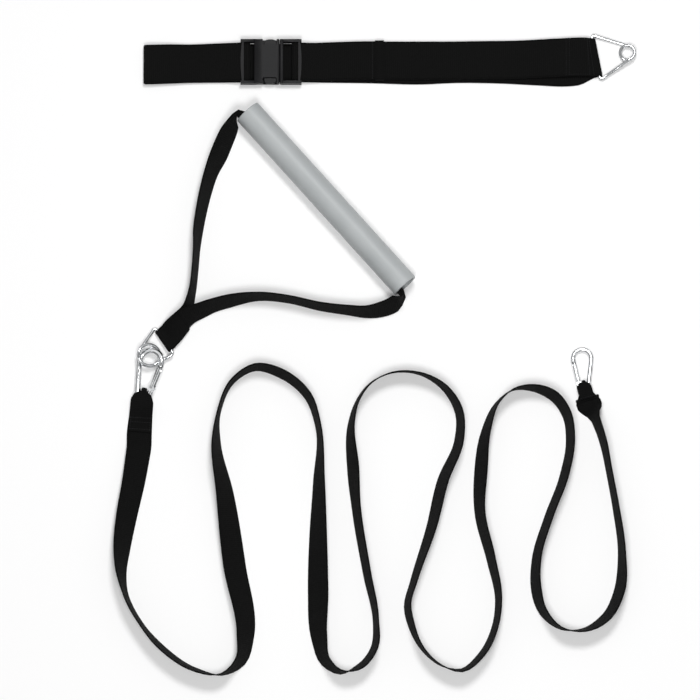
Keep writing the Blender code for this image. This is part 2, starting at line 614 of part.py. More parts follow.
def buckle_latch(name, side):
    """Sprung side arm of the tongue, with the button that shows in the housing's window."""
    pivot_x = TONGUE_LEFT - CLEARANCE - LATCH_ROOT_RADIUS
    root = LATCH_ROOT_RADIUS
    tip = pivot_x - LATCH_LENGTH
    near_end = arc(pivot_x, LATCH_PIVOT_OUT, root, -90, 90, 8)
    far_end = arc(tip + root, LATCH_PIVOT_OUT, root, 90, 270, 6)
    outline = [(x, BELT_MIDDLE_Y + side * y) for x, y in near_end]
    outline += button_outline(side, 0, 0)
    outline += [(x, BELT_MIDDLE_Y + side * y) for x, y in far_end]
    half = CAVITY_HALF_HEIGHT - CLEARANCE
    body = plate(outline, BUCKLE_MIDDLE_Z - half, BUCKLE_MIDDLE_Z + half)
    origin = Vector((pivot_x, BELT_MIDDLE_Y + side * LATCH_PIVOT_OUT, BUCKLE_MIDDLE_Z))
    return add(name, body, buckle_look(name + '_plastic'), origin)


def rounded_corner(corner, before, after, radius, pieces=6):
    """Points that round a corner of a wire between the places before and after it."""
    back = (before - corner).normalized()
    forward = (after - corner).normalized()
    half = back.angle(forward) / 2
    centre = corner + (back + forward).normalized() * (radius / math.sin(half))
    first = corner + back * (radius / math.tan(half)) - centre
    last = corner + forward * (radius / math.tan(half)) - centre
    return [centre + first.slerp(last, k / pieces).normalized() * radius for k in range(pieces + 1)]


def ring_points(half_base, reach, shift, coil_radius, coil_z):
    """Wire of a ring in its own frame: a base along Y, two legs and a coiled eye at +X.

    coil_z gives the eye's height from its turn, in degrees from its first point, and the plan angle.
    """
    pitch_pieces = 20
    upper = Vector((0, half_base, 0))
    lower = Vector((0, -half_base, 0))
    centre = Vector((reach, shift, 0))
    tangents = []
    for corner, side in ((upper, 1), (lower, -1)):
        line = centre - corner
        swing = side * math.asin(coil_radius / line.length)
        leg = Matrix.Rotation(swing, 3, 'Z') @ line.normalized()
        tangents.append(corner + leg * math.sqrt(line.length ** 2 - coil_radius ** 2))
    start = math.degrees(math.atan2(tangents[0].y - centre.y, tangents[0].x - centre.x))
    end = math.degrees(math.atan2(tangents[1].y - centre.y, tangents[1].x - centre.x))
    sweep = (start - end) % 360 + 360 * RING_FULL_TURNS
    coil_count = round(sweep / 360 * pitch_pieces)
    coil = []
    for k in range(coil_count + 1):
        turned = sweep * k / coil_count
        angle = math.radians(start - turned)
        spot = centre + Vector((math.cos(angle), math.sin(angle), 0)) * coil_radius
        coil.append(spot + UP * coil_z(turned, spot))
    legs = []
    for corner, end_point in ((upper, coil[0]), (lower, coil[-1])):
        flat_end = Vector((end_point.x, end_point.y, 0))
        base_end = Vector((0, math.copysign(RING_BASE_GAP / 2, corner.y), 0))
        bend = rounded_corner(corner, base_end, flat_end, RING_CORNER_RADIUS)
        leg = [base_end] + bend
        run = (flat_end - bend[-1]).length
        leg += [bend[-1].lerp(flat_end, t) for t in LEG_ROW_SHARES]
        lifted = []
        for point in leg:
            t = 0.0 if point.x <= bend[-1].x else 1 - (flat_end - point).length / run
            lifted.append(point + UP * end_point.z * t * t * (3 - 2 * t))
        legs.append(lifted)
    return legs[0] + coil + legs[1][::-1]


def frame_matrix(origin, forward, across):
    """Places a plan: its X along forward, its Y along across."""
    normal = forward.cross(across)
    turned = Matrix((forward, across, normal)).transposed().to_4x4()
    return Matrix.Translation(origin) @ turned


def ring_wire(name, points, origin=None):
    gap = least_gap(points, RING_WIRE_RADIUS, 5 * RING_WIRE_RADIUS)
    print(name, 'least gap of its wire to itself in mm:', round(gap * 1000, 2))
    look = material(name + '_chrome', (0.62, 0.63, 0.65), 0.12, 1)
    return add(name, wire(points, RING_WIRE_RADIUS), look, origin)


def belt_ring():
    shift = BELT_WIDTH * UPPER_SHIFT_SHARES[-1][1]
    turn = Matrix.Rotation(math.radians(BELT_FOLD_SKEW), 3, 'Z')
    forward = turn @ Vector((1, 0, 0))
    origin = Vector((BELT_RING_BASE_X, BELT_MIDDLE_Y + shift, BELT_RING_Z))
    pitch = 2 * RING_WIRE_RADIUS + RING_COIL_GAP
    lowest = RING_WIRE_RADIUS - BELT_RING_Z

    def coil_z(turned, spot):
        return lowest + pitch * turned / 360

    half_base = BELT_WIDTH / 2 + RING_SIDE_ROOM + RING_CORNER_RADIUS
    local = ring_points(half_base, BELT_RING_REACH, BELT_RING_COIL_SHIFT, BELT_RING_COIL_RADIUS, coil_z)
    place = frame_matrix(origin, forward, turn @ Vector((0, 1, 0)))
    points = [place @ point for point in local]
    return ring_wire('belt_ring', points, origin)


def tube_place(along_share, right_share):
    """Layout place from shares of the tube's length along it and to its right."""
    heading = ahead(TUBE_HEADING)
    middle = Vector((TUBE_MIDDLE_X, TUBE_MIDDLE_Y, 0))
    return middle + (heading * along_share + right_of(heading) * right_share) * TUBE_LENGTH


def handle_tube():
    look = material('tube_plastic', (0.72, 0.72, 0.72), 0.45, 0)
    half = TUBE_LENGTH / 2
    inner = TUBE_OUTER_RADIUS - TUBE_WALL
    rim = TUBE_RIM_ROUND
    profile = arc(TUBE_OUTER_RADIUS - rim, half - rim, rim, 0, 90, 2)
    profile += arc(inner + rim, half - rim, rim, 90, 180, 2)
    profile += [(r, -z) for r, z in profile[::-1]]
    bm = bmesh.new()
    sides = 36
    rows = []
    for k in range(sides):
        angle = 2 * math.pi * k / sides
        row = [bm.verts.new((r * math.cos(angle), r * math.sin(angle), z)) for r, z in profile]
        rows.append(row)
    for k in range(sides):
        first, second = rows[k], rows[(k + 1) % sides]
        for i in range(len(profile)):
            j = (i + 1) % len(profile)
            bm.faces.new((first[i], first[j], second[j], second[i]))
    bmesh.ops.recalc_face_normals(bm, faces=bm.faces)
    origin = Vector((TUBE_MIDDLE_X, TUBE_MIDDLE_Y, TUBE_OUTER_RADIUS))
    turn = ahead(TUBE_HEADING).to_track_quat('Z', 'Y').to_matrix().to_4x4()
    bmesh.ops.transform(bm, matrix=Matrix.Translation(origin) @ turn, verts=bm.verts)
    return add('handle_tube', bm, look, origin)


def standing_height(width, thickness, lean):
    """Height of a ribbon's middle when its lowest edge is on the floor."""
    angle = math.radians(lean)
    return (width * abs(math.sin(angle)) + thickness * abs(math.cos(angle))) / 2


def yoke_frame(share):
    """Middle, across and layer direction of the sewn yoke, from the arms' meeting to the ring fold."""
    start = tube_place(*YOKE_START_SHARES)
    end = tube_place(*YOKE_END_SHARES)
    eased = share * share * (3 - 2 * share)
    skew = Matrix.Rotation(math.radians(YOKE_END_SKEW) * eased, 3, 'Z')
    heading = skew @ (end - start).normalized()
    turned = min(1, share / YOKE_TURNED_SHARE) ** 2
    lean = YOKE_START_LEAN + (YOKE_END_LEAN - YOKE_START_LEAN) * turned
    across = leaning(heading, lean)
    layers = 2 * HANDLE_STRAP_LAYER + (2 * HANDLE_FOLD_RADIUS - 2 * HANDLE_STRAP_LAYER) * share ** 2
    middle = start.lerp(end, share)
    middle.z = standing_height(HANDLE_STRAP_WIDTH, layers + HANDLE_STRAP_THICKNESS, lean) + CLEARANCE / 2
    return middle, across, across.cross(heading), heading


def yoke_ring_share():
    """Share of the yoke's length at which the ring's base wire lies in the fold."""
    length = (tube_place(*YOKE_END_SHARES) - tube_place(*YOKE_START_SHARES)).length
    return 1 - (HANDLE_FOLD_RADIUS + HANDLE_STRAP_THICKNESS / 2) / length


def handle_strap_stations():
    layer = HANDLE_STRAP_LAYER
    fold_radius = HANDLE_FOLD_RADIUS
    width = HANDLE_STRAP_WIDTH
    full_curl = width / HANDLE_CURL_RADIUS

    def yoke_row(share, offset):
        middle, across, normal, _ = yoke_frame(share)
        return middle + normal * offset, across

    rows = []
    for share in YOKE_ROW_SHARES[2:]:
        rows.append((*yoke_row(share, layer + (fold_radius - layer) * share ** 2), 0))
    middle, across, normal, heading = yoke_frame(yoke_ring_share())
    for k in range(9):
        angle = math.pi * k / 8
        spot = middle + (normal * math.cos(angle) + heading * math.sin(angle)) * fold_radius
        rows.append((spot, across, 0))
    for share in YOKE_ROW_SHARES[::-1]:
        rows.append((*yoke_row(share, -layer - (fold_radius - layer) * share ** 2), 0))

    def arm_rows(shares):
        places = [tube_place(along, aside) for along, aside, _ in shares]
        found = []
        for i, place in enumerate(places):
            heading = (places[min(i + 1, len(places) - 1)] - places[max(i - 1, 0)]).normalized()
            lean = shares[i][2]
            place.z = standing_height(width, HANDLE_STRAP_THICKNESS, lean)
            found.append((place, leaning(heading, lean), 0))
        return found

    rows += arm_rows(LEFT_ARM_SHARES)
    heading = ahead(TUBE_HEADING)
    axis = Vector((TUBE_MIDDLE_X, TUBE_MIDDLE_Y, TUBE_OUTER_RADIUS))
    half = TUBE_LENGTH / 2

    def bore_row(along, lean, curl):
        across = leaning(heading, lean)
        return axis + heading * along + heading.cross(across) * HANDLE_CURL_RADIUS, across, curl

    exit_curl = full_curl * EXIT_CURL_SHARE
    rows.append(bore_row(-half - LEFT_EXIT, LEFT_EXIT_LEAN, exit_curl))
    rows += [bore_row(half * share, lean, full_curl) for share, lean in TUBE_ROW_SHARES]
    rows.append(bore_row(half + RIGHT_EXIT, RIGHT_EXIT_LEAN, exit_curl))
    rows += arm_rows(RIGHT_ARM_SHARES)
    for share in YOKE_ROW_SHARES[1:-3]:
        rows.append((*yoke_row(share, 0), 0))
    flat = [(*centre, *across, curl) for centre, across, curl in rows]
    stations = []
    for x, y, z, a, b, c, curl in smooth_curve(flat, width / 2):
        curl = 0 if curl < LEAST_CURL else curl
        across = Vector((a, b, c)).normalized()
        stations.append((Vector((x, y, z)), across, width, HANDLE_STRAP_THICKNESS, curl))
    return stations


def handle_strap():
    return add('handle_strap', ribbon(handle_strap_stations(), 4), webbing_look('handle_webbing'))


def handle_ring_place():
    """Base middle, forward and across directions of the handle ring."""
    base, _, _, heading = yoke_frame(yoke_ring_share())
    return base, heading, right_of(heading)


def handle_ring_centre():
    base, heading, across = handle_ring_place()
    centre = base + heading * HANDLE_RING_REACH + across * HANDLE_RING_COIL_SHIFT
    centre.z = 0
    return centre


def handle_ring():
    base, heading, across = handle_ring_place()
    lean = yoke_frame(yoke_ring_share())[1]
    across_base = -lean if lean.dot(across) < 0 else lean
    pitch = 2 * RING_WIRE_RADIUS + RING_COIL_GAP
    downhill = right_of(ahead(NEAR_HOOK_HEADING))
    centre = handle_ring_centre()

    def coil_z(turned, spot):
        world = base + heading * spot.x + across * spot.y
        along = (world - centre).dot(downhill) / HANDLE_RING_COIL_RADIUS
        return HANDLE_RING_COIL_MIDDLE - base.z - HANDLE_RING_COIL_RISE * along + pitch * turned / 360

    half_base = HANDLE_STRAP_WIDTH / 2 + RING_SIDE_ROOM + RING_CORNER_RADIUS
    local = ring_points(
        half_base, HANDLE_RING_REACH, HANDLE_RING_COIL_SHIFT, HANDLE_RING_COIL_RADIUS, coil_z)
    tilt = across_base.z / across_base.dot(across)
    points = []
    for point in local:
        fade = max(0, 1 - point.x / (HANDLE_RING_REACH / 2))
        lifted = point.z + tilt * point.y * fade
        points.append(base + heading * point.x + across * point.y + UP * lifted)
    return ring_wire('handle_ring', points)


class Hook:
    """A pear-shaped snap hook in its own plan: narrow circle at the origin, wide circle along +Y."""

    def __init__(self, name, length, wire_radius, wide_radius, hinge, gate, gate_side):
        self.name = name
        self.wire = wire_radius
        self.wide = wide_radius
        self.side = gate_side
        sine = math.sin(math.radians(HOOK_TAPER))
        reach = length - 2 * wire_radius - wide_radius
        self.distance = (reach - wide_radius) / (1 - sine)
        self.narrow = wide_radius - self.distance * sine
        self.hinge = hinge
        self.gate = gate
        self.place = Matrix.Identity(4)

    def side_point(self, side, along):
        """Point on a straight side, from its tangent point on the narrow circle."""
        taper = math.radians(HOOK_TAPER)
        start = Vector((math.cos(taper) * side, -math.sin(taper), 0)) * self.narrow
        return start + self.side_direction(side) * along

    def side_direction(self, side):
        taper = math.radians(HOOK_TAPER)
        return Vector((math.sin(taper) * side, math.cos(taper), 0))

    def straight_length(self):
        return self.distance * math.cos(math.radians(HOOK_TAPER))

    def pin(self):
        return self.side_point(self.side, self.hinge)

    def body_points(self):
        """Bent wire from the nose, round the wide end, down the spine and round to the hinge."""
        side = self.side
        shoulder = self.wire + GATE_STEP + CLEARANCE
        nose = self.hinge + self.gate + GATE_END_GAP
        points = [self.side_point(side, nose)]
        top = self.straight_length()
        if nose < top - self.wire:
            points.append(self.side_point(side, (nose + top) / 2))
        wide_centre = Vector((0, self.distance, 0))
        for k in range(17):
            angle = math.radians(-HOOK_TAPER + (180 + 2 * HOOK_TAPER) * k / 16)
            points.append(wide_centre + Vector((side * math.cos(angle), math.sin(angle), 0)) * self.wide)
        points.append(self.side_point(-side, top / 2))
        for k in range(11):
            angle = math.radians(180 + HOOK_TAPER + (180 - 2 * HOOK_TAPER) * k / 10)
            points.append(Vector((side * math.cos(angle), math.sin(angle), 0)) * self.narrow)
        foot = self.hinge - shoulder
        if foot > self.wire * LEAST_FOOT_SHARE:
            points.append(self.side_point(side, foot))
        return points

    def parts(self, chrome, gate_steel, pin_steel, spring_steel):
        """Add the frame, gate, pin and spring."""
        along = self.side_direction(self.side)
        pin = self.pin()
        radius = self.wire
        knuckle = radius * KNUCKLE_SHARE
        tongue_half = radius * TONGUE_THICKNESS_SHARE / 2
        slot_half = tongue_half + CLEARANCE
        pin_radius = radius * PIN_RADIUS_SHARE
        hole_radius = pin_radius + CLEARANCE
        turn = math.atan2(along.y, along.x)
        sunk = radius * SUNK_SHARE
        shoulder = radius + GATE_STEP + CLEARANCE
        frame = add(self.name + '_frame', self.moved(wire(self.body_points(), radius, 12)), chrome)
        eye = rod(pin - UP * tongue_half, pin + UP * tongue_half, knuckle)
        neck_centre = pin - along * (shoulder + sunk) / 2
        neck = box(shoulder + sunk, 2 * knuckle * NECK_WIDTH_SHARE, 2 * tongue_half, neck_centre, turn)
        nose = pin + along * (self.gate + GATE_END_GAP)
        tongue_length = radius * NOSE_TONGUE_LENGTH_SHARE
        nose_tongue = box(tongue_length + sunk, 2 * knuckle * NOSE_TONGUE_WIDTH_SHARE, 2 * tongue_half,
                          nose + along * (sunk - tongue_length) / 2, turn)
        for shape in (eye, neck, nose_tongue):
            combine(frame, self.moved(shape), 'UNION')
        reach = UP * (radius + OVERRUN)
        combine(frame, self.moved(rod(pin - reach, pin + reach, hole_radius)), 'DIFFERENCE')
        origin = self.place @ pin
        gate_bm = rod(pin, pin + along * self.gate, radius)
        gate = add(self.name + '_gate', self.moved(gate_bm), gate_steel, origin)
        ear = rod(pin - UP * knuckle, pin + UP * knuckle, radius)
        combine(gate, self.moved(ear), 'UNION')
        slot_depth = knuckle + CLEARANCE + GATE_STEP
        back = 2 * radius
        hinge_slot = box(slot_depth + back, 4 * radius, 2 * slot_half,
                         pin + along * (slot_depth - back) / 2, turn)
        nose_depth = tongue_length + 2 * CLEARANCE
        nose_slot = box(nose_depth + back, 4 * radius, 2 * slot_half,
                        pin + along * (self.gate + (back - nose_depth) / 2), turn)
        bore_start = pin + along * knuckle
        spring_room = slot_depth + radius * SPRING_LENGTH_SHARE + 2 * CLEARANCE
        spring_radius = radius * SPRING_RADIUS_SHARE
        spring_wire = radius * SPRING_WIRE_SHARE
        bore = rod(bore_start, pin + along * spring_room, spring_radius + spring_wire + CLEARANCE, 16)
        pin_hole = rod(pin - reach, pin + reach, hole_radius)
        for shape in (hinge_slot, nose_slot, bore, pin_hole):
            combine(gate, self.moved(shape), 'DIFFERENCE')
        pin_bm = rod(pin - UP * knuckle, pin + UP * knuckle, pin_radius)
        add(self.name + '_pin', self.moved(pin_bm), pin_steel, origin)
        side_way = along.cross(UP)
        coil = []
        pieces = SPRING_TURNS * 10
        for k in range(pieces + 1):
            angle = 2 * math.pi * k / 10
            step = slot_depth + CLEARANCE + radius * SPRING_LENGTH_SHARE * k / pieces
            turned = side_way * math.cos(angle) + UP * math.sin(angle)
            coil.append(pin + along * step + turned * spring_radius)
        add(self.name + '_spring', self.moved(wire(coil, spring_wire, 6)), spring_steel)

    def moved(self, bm):
        bmesh.ops.transform(bm, matrix=self.place, verts=bm.verts)
        return bm


def hook_looks(name):
    tints = ((0.62, 0.63, 0.65), (0.66, 0.67, 0.69), (0.5, 0.5, 0.52), (0.45, 0.45, 0.47))
    kinds = ('frame', 'gate', 'pin', 'spring')
    return [material(name + '_' + kind + '_steel', tint, 0.15, 1) for kind, tint in zip(kinds, tints)]


def near_hook():
    hook = Hook('near_carabiner', NEAR_HOOK_LENGTH, NEAR_HOOK_WIRE_RADIUS, NEAR_HOOK_WIDE_RADIUS,
                NEAR_HOOK_HINGE_PLACE, NEAR_HOOK_GATE_LENGTH, 1)
    forward = ahead(NEAR_HOOK_HEADING)
    right = right_of(forward)
    wide = handle_ring_centre() + right * NEAR_HOOK_COIL_SIDE - forward * NEAR_HOOK_COIL_BACK
    narrow = wide - forward * hook.distance
    side_rise = NEAR_HOOK_SIDE_SLOPE
    narrow_z = LEAD_THICKNESS + CLEARANCE + hook.wire + hook.narrow * side_rise + CLEARANCE
    wide_z = hook.wire + hook.wide * side_rise
    end_rise = (wide_z - narrow_z) / hook.distance
    x_axis = (right + UP * side_rise).normalized()
    y_axis = (forward + UP * end_rise).normalized()
    y_axis = (y_axis - x_axis * x_axis.dot(y_axis)).normalized()
    narrow.z = narrow_z
    hook.place = frame_matrix(narrow, x_axis, y_axis)
    return hook


def far_hook():
    hook = Hook('far_carabiner', FAR_HOOK_LENGTH, FAR_HOOK_WIRE_RADIUS, FAR_HOOK_WIDE_RADIUS,
                FAR_HOOK_HINGE_PLACE, FAR_HOOK_GATE_LENGTH, -1)
    forward = ahead(FAR_HOOK_HEADING)
    right = right_of(forward)
    narrow_z = FAR_GATHER_THICKNESS + CLEARANCE + hook.wire
    end_rise = (hook.wire - narrow_z) / (hook.distance + hook.wide)
    y_axis = (forward + UP * end_rise).normalized()
    hook.place = frame_matrix(Vector((FAR_HOOK_X, FAR_HOOK_Y, narrow_z)), right, y_axis)
    return hook


def end_loop(hook, pocket_depth, pocket_width, gather_width, gather_thickness, tail, tail_heading):
    """Rows of the lead's sewn end: under the hook's narrow wire, up inside it, back over it and the tail."""
    plan = Matrix(hook.place)
    origin = Vector((plan.translation.x, plan.translation.y, 0))
    hook_way = Vector((plan.col[1].x, plan.col[1].y, 0)).normalized()
    middle_z = plan.translation.z
    flat = LEAD_THICKNESS / 2
    clear = hook.narrow + hook.wire + CLEARANCE
    under = middle_z - hook.wire - CLEARANCE - gather_thickness / 2
    over = middle_z + (hook.wire + CLEARANCE + gather_thickness / 2) * ROUND_WIRE_SHARE
    gather_start = pocket_depth * GATHER_START_SHARE
    shoulder = gather_start * SHOULDER_SHARE
    shoulder_width = pocket_width * SHOULDER_WIDTH_SHARE
    back = pocket_depth - gather_thickness / 2
    wire_side = hook.wire * WIRE_SIDE_SHARE
    long_tail = tail > clear * LONG_TAIL_SHARE
    under_width = LEAD_WIDTH if long_tail else pocket_width
    rows = [
        (-tail * UNDER_TAIL_SHARE, flat, under_width, LEAD_THICKNESS, 0),
        (-clear, flat, pocket_width, LEAD_THICKNESS, 0),
        (0, flat, pocket_width, LEAD_THICKNESS, 0),
        (shoulder, flat, shoulder_width, LEAD_THICKNESS, 0),
        (gather_start, flat, gather_width, LEAD_THICKNESS, 0),
        (back, under + wire_side, gather_width, gather_thickness, 0.3),
        (back + gather_thickness * FOLD_OUT_SHARE, middle_z, gather_width, gather_thickness, 0.6),
        (back, over - wire_side, gather_width, gather_thickness, 0.9),
        (gather_start, over, gather_width, gather_thickness, 1),
        (shoulder, over, shoulder_width, LEAD_THICKNESS, 1),
        (0, over, pocket_width, LEAD_THICKNESS, 1),
        (-clear * POCKET_END_SHARE, over - CLEARANCE, pocket_width, LEAD_THICKNESS, 1),
    ]
    upper = flat + LEAD_THICKNESS + CLEARANCE
    end_width = pocket_width
    if long_tail:
        end_width = LEAD_WIDTH * TAIL_WIDTH_SHARE
        rows.append((-clear * SLOPE_END_SHARE, (over + upper) / 2, pocket_width, LEAD_THICKNESS, 0.6))
        rows.append((-tail * TAIL_FLAT_SHARE, upper, end_width, LEAD_THICKNESS, 0))
    rows.append((-tail, upper + CLEARANCE, end_width, LEAD_THICKNESS, 0))
    side_rise = Vector(plan.col[0][:3]).z
    made = []
    for along, z, width, thickness, roll in rows:
        forward = ahead(tail_heading) if along < 0 else hook_way
        place = origin + forward * along
        place.z = z
        made.append((place, (right_of(forward) + UP * side_rise * roll).normalized(), width, thickness))
    return made


def lead_stations(near, far):
    near_loop = end_loop(near, NEAR_POCKET_DEPTH, NEAR_POCKET_WIDTH, NEAR_GATHER_WIDTH,
                         NEAR_GATHER_THICKNESS, NEAR_TAIL, NEAR_TAIL_HEADING)
    far_loop = end_loop(far, FAR_POCKET_DEPTH, FAR_POCKET_WIDTH, FAR_GATHER_WIDTH,
                        FAR_GATHER_THICKNESS, FAR_TAIL, FAR_TAIL_HEADING)
    rows = [(*place, *-across, width, thickness) for place, across, width, thickness in near_loop[::-1]]
    course = []
    for x, y, _, lean in smooth_curve([(x, y, 0, lean) for x, y, lean in LEAD_ROUTE], LEAD_STEP):
        course.append((Vector((x, y, 0)), lean))
    for i, (place, lean) in enumerate(course):
        before = course[max(i - 1, 0)][0]
        after = course[min(i + 1, len(course) - 1)][0]
        across = leaning((after - before).normalized(), lean)
        height = standing_height(LEAD_WIDTH, LEAD_THICKNESS, lean)
        rows.append((place.x, place.y, height, *across, LEAD_WIDTH, LEAD_THICKNESS))
    rows += [(*place, *across, width, thickness) for place, across, width, thickness in far_loop]
    stations = []
    for x, y, z, a, b, c, width, thickness in smooth_curve(rows, LEAD_STEP * 1.5):
        across = Vector((a, b, c)).normalized()
        stations.append((Vector((x, y, z)), across, width, thickness, 0))
    return stations


def lead_strap(near, far):
    stations = lead_stations(near, far)
    length = sum((b[0] - a[0]).length for a, b in zip(stations, stations[1:]))
    print('lead strap length in m:', round(length, 3), 'stations:', len(stations))
    return add('lead_strap', ribbon(stations), webbing_look('lead_webbing'))


def build():
    belt_strap()
    belt_keeper()
    buckle_housing()
    buckle_tongue()
    buckle_latch('buckle_latch_left', 1)
    buckle_latch('buckle_latch_right', -1)
    belt_ring()
    handle_tube()
    handle_strap()
    handle_ring()
    near = near_hook()
    far = far_hook()
    near.parts(*hook_looks('near_carabiner'))
    far.parts(*hook_looks('far_carabiner'))
    lead_strap(near, far)


build()
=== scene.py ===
# Resistance sprint trainer: webbing, stitching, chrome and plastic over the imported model
import math

import bmesh
import bpy
from mathutils import Matrix, Vector


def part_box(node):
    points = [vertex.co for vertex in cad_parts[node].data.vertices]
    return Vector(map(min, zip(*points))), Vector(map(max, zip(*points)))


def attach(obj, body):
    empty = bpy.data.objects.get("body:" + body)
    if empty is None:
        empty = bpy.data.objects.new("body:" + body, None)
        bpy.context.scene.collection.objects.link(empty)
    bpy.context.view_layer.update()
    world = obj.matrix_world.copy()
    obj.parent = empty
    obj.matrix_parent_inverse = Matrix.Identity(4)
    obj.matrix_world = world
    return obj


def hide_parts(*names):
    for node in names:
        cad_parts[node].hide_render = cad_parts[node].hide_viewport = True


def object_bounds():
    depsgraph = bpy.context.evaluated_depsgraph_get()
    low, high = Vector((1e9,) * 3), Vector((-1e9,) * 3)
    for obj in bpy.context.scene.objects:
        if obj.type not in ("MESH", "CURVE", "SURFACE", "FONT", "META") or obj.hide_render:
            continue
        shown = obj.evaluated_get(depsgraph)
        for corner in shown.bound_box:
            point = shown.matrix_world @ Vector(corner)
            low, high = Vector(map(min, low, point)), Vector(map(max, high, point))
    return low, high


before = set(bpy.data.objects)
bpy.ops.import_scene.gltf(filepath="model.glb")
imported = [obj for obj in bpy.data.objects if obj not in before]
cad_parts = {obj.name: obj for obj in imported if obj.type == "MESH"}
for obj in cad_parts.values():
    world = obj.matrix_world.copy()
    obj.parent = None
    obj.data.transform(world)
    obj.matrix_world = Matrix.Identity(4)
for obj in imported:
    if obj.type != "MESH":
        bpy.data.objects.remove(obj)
cadLow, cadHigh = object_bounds()
up = Vector((0, 0, 1))

# Shared fits and the shift from the layout's places to the frame's origin
layout = {
    "centreX": 0.04775,
    "centreY": 0.19465,
    "clearance": 0.0003,
}
clearance = layout["clearance"]
shift = Vector((layout["centreX"], layout["centreY"], 0))

# Camera over the photograph's middle
photoView = {
    "middle": (-0.04775, -0.19265, 0.0),
    "elevation": 80.0,
    "distance": 16.0,
    "width": 0.894,
    "clip": (0.05, 30.0),
}


def addObject(name, data):
    made = bpy.data.objects.new(name, data)
    bpy.context.scene.collection.objects.link(made)
    return made


def makeCamera():
    spec = photoView
    data = bpy.data.cameras.new("photoCamera")
    camera = addObject("photoCamera", data)
    angle = math.radians(spec["elevation"])
    back = Vector((0, -math.cos(angle), math.sin(angle)))
    camera.location = Vector(spec["middle"]) + back * spec["distance"]
    camera.rotation_mode = "QUATERNION"
    camera.rotation_quaternion = (-back).to_track_quat("-Z", "Y")
    data.lens = data.sensor_width * spec["distance"] / spec["width"]
    data.clip_start, data.clip_end = spec["clip"]
    bpy.context.scene.camera = camera


makeCamera()
print("camera ready")


def ahead(degrees):
    angle = math.radians(degrees)
    return Vector((math.cos(angle), math.sin(angle), 0))


def rightOf(heading):
    return heading.cross(up).normalized()


def leaning(heading, degrees):
    angle = math.radians(degrees)
    return rightOf(heading) * math.cos(angle) + up * math.sin(angle)


def standingHeight(width, thickness, lean):
    angle = math.radians(lean)
    return (width * abs(math.sin(angle)) + thickness * abs(math.cos(angle))) / 2


def smoothTable(rows, step, free=2):
    # columns past the free ones stay between their two rows
    count = len(rows)
    spans = [max(math.dist(rows[i][:3], rows[i + 1][:3]), clearance) for i in range(count - 1)]
    slopes = []
    for i in range(count):
        before = max(i - 1, 0)
        after = min(i, count - 2)
        slopeIn = [(b - a) / spans[before] for a, b in zip(rows[before], rows[before + 1])]
        slopeOut = [(b - a) / spans[after] for a, b in zip(rows[after], rows[after + 1])]
        total = spans[before] + spans[after]
        slope = [(p * spans[after] + q * spans[before]) / total for p, q in zip(slopeIn, slopeOut)]
        for column in range(free, len(slope)):
            least = min(abs(slopeIn[column]), abs(slopeOut[column]))
            if slopeIn[column] * slopeOut[column] <= 0:
                least = 0
            slope[column] = math.copysign(min(abs(slope[column]), 2 * least), slope[column])
        slopes.append(slope)
    made = []
    for i in range(count - 1):
        pieces = max(1, round(spans[i] / step))
        for piece in range(pieces):
            t = piece / pieces
            start = 2 * t ** 3 - 3 * t ** 2 + 1
            leave = (t ** 3 - 2 * t ** 2 + t) * spans[i]
            arrive = (t ** 3 - t ** 2) * spans[i]
            columns = zip(rows[i], rows[i + 1], slopes[i], slopes[i + 1])
            made.append([start * a + (1 - start) * b + leave * m + arrive * n for a, b, m, n in columns])
    made.append(list(rows[-1]))
    return made


def arc(centreX, centreY, radius, start, end, pieces):
    angles = [math.radians(start + (end - start) * k / pieces) for k in range(pieces + 1)]
    return [(centreX + radius * math.cos(a), centreY + radius * math.sin(a)) for a in angles]


def newMaterial(name):
    made = bpy.data.materials.new(name)
    made.use_nodes = True
    nodes = made.node_tree.nodes
    return made, nodes, made.node_tree.links, nodes["Principled BSDF"]


def mathNode(nodes, links, operation, first, second):
    node = nodes.new("ShaderNodeMath")
    node.operation = operation
    for socket, value in zip(node.inputs, (first, second)):
        if isinstance(value, (int, float)):
            socket.default_value = value
        else:
            links.new(value, socket)
    return node.outputs[0]


def colourRamp(nodes, links, source, stops):
    ramp = nodes.new("ShaderNodeValToRGB")
    elements = ramp.color_ramp.elements
    for element, (place, tint) in zip(elements, (stops[0], stops[-1])):
        element.position = place
        element.color = (*tint, 1)
    for place, tint in stops[1:-1]:
        elements.new(place).color = (*tint, 1)
    links.new(source, ramp.inputs[0])
    return ramp.outputs[0]


def addBump(nodes, links, shader, height, strength, distance):
    bump = nodes.new("ShaderNodeBump")
    bump.inputs["Strength"].default_value = strength
    bump.inputs["Distance"].default_value = distance
    links.new(height, bump.inputs["Height"])
    links.new(bump.outputs[0], shader.inputs["Normal"])


def noiseNode(nodes, links, coords, scale, detail):
    made = nodes.new("ShaderNodeTexNoise")
    made.inputs["Scale"].default_value = scale
    made.inputs["Detail"].default_value = detail
    links.new(coords.outputs["Object"], made.inputs["Vector"])
    return made.outputs["Fac"]


def unevenGloss(nodes, links, shader, source, roughness, swing):
    # roughness that wavers by the swing round its middle value
    rough = mathNode(nodes, links, "MULTIPLY_ADD", source, swing)
    rough.node.inputs[2].default_value = roughness - swing / 2
    links.new(rough, shader.inputs["Roughness"])


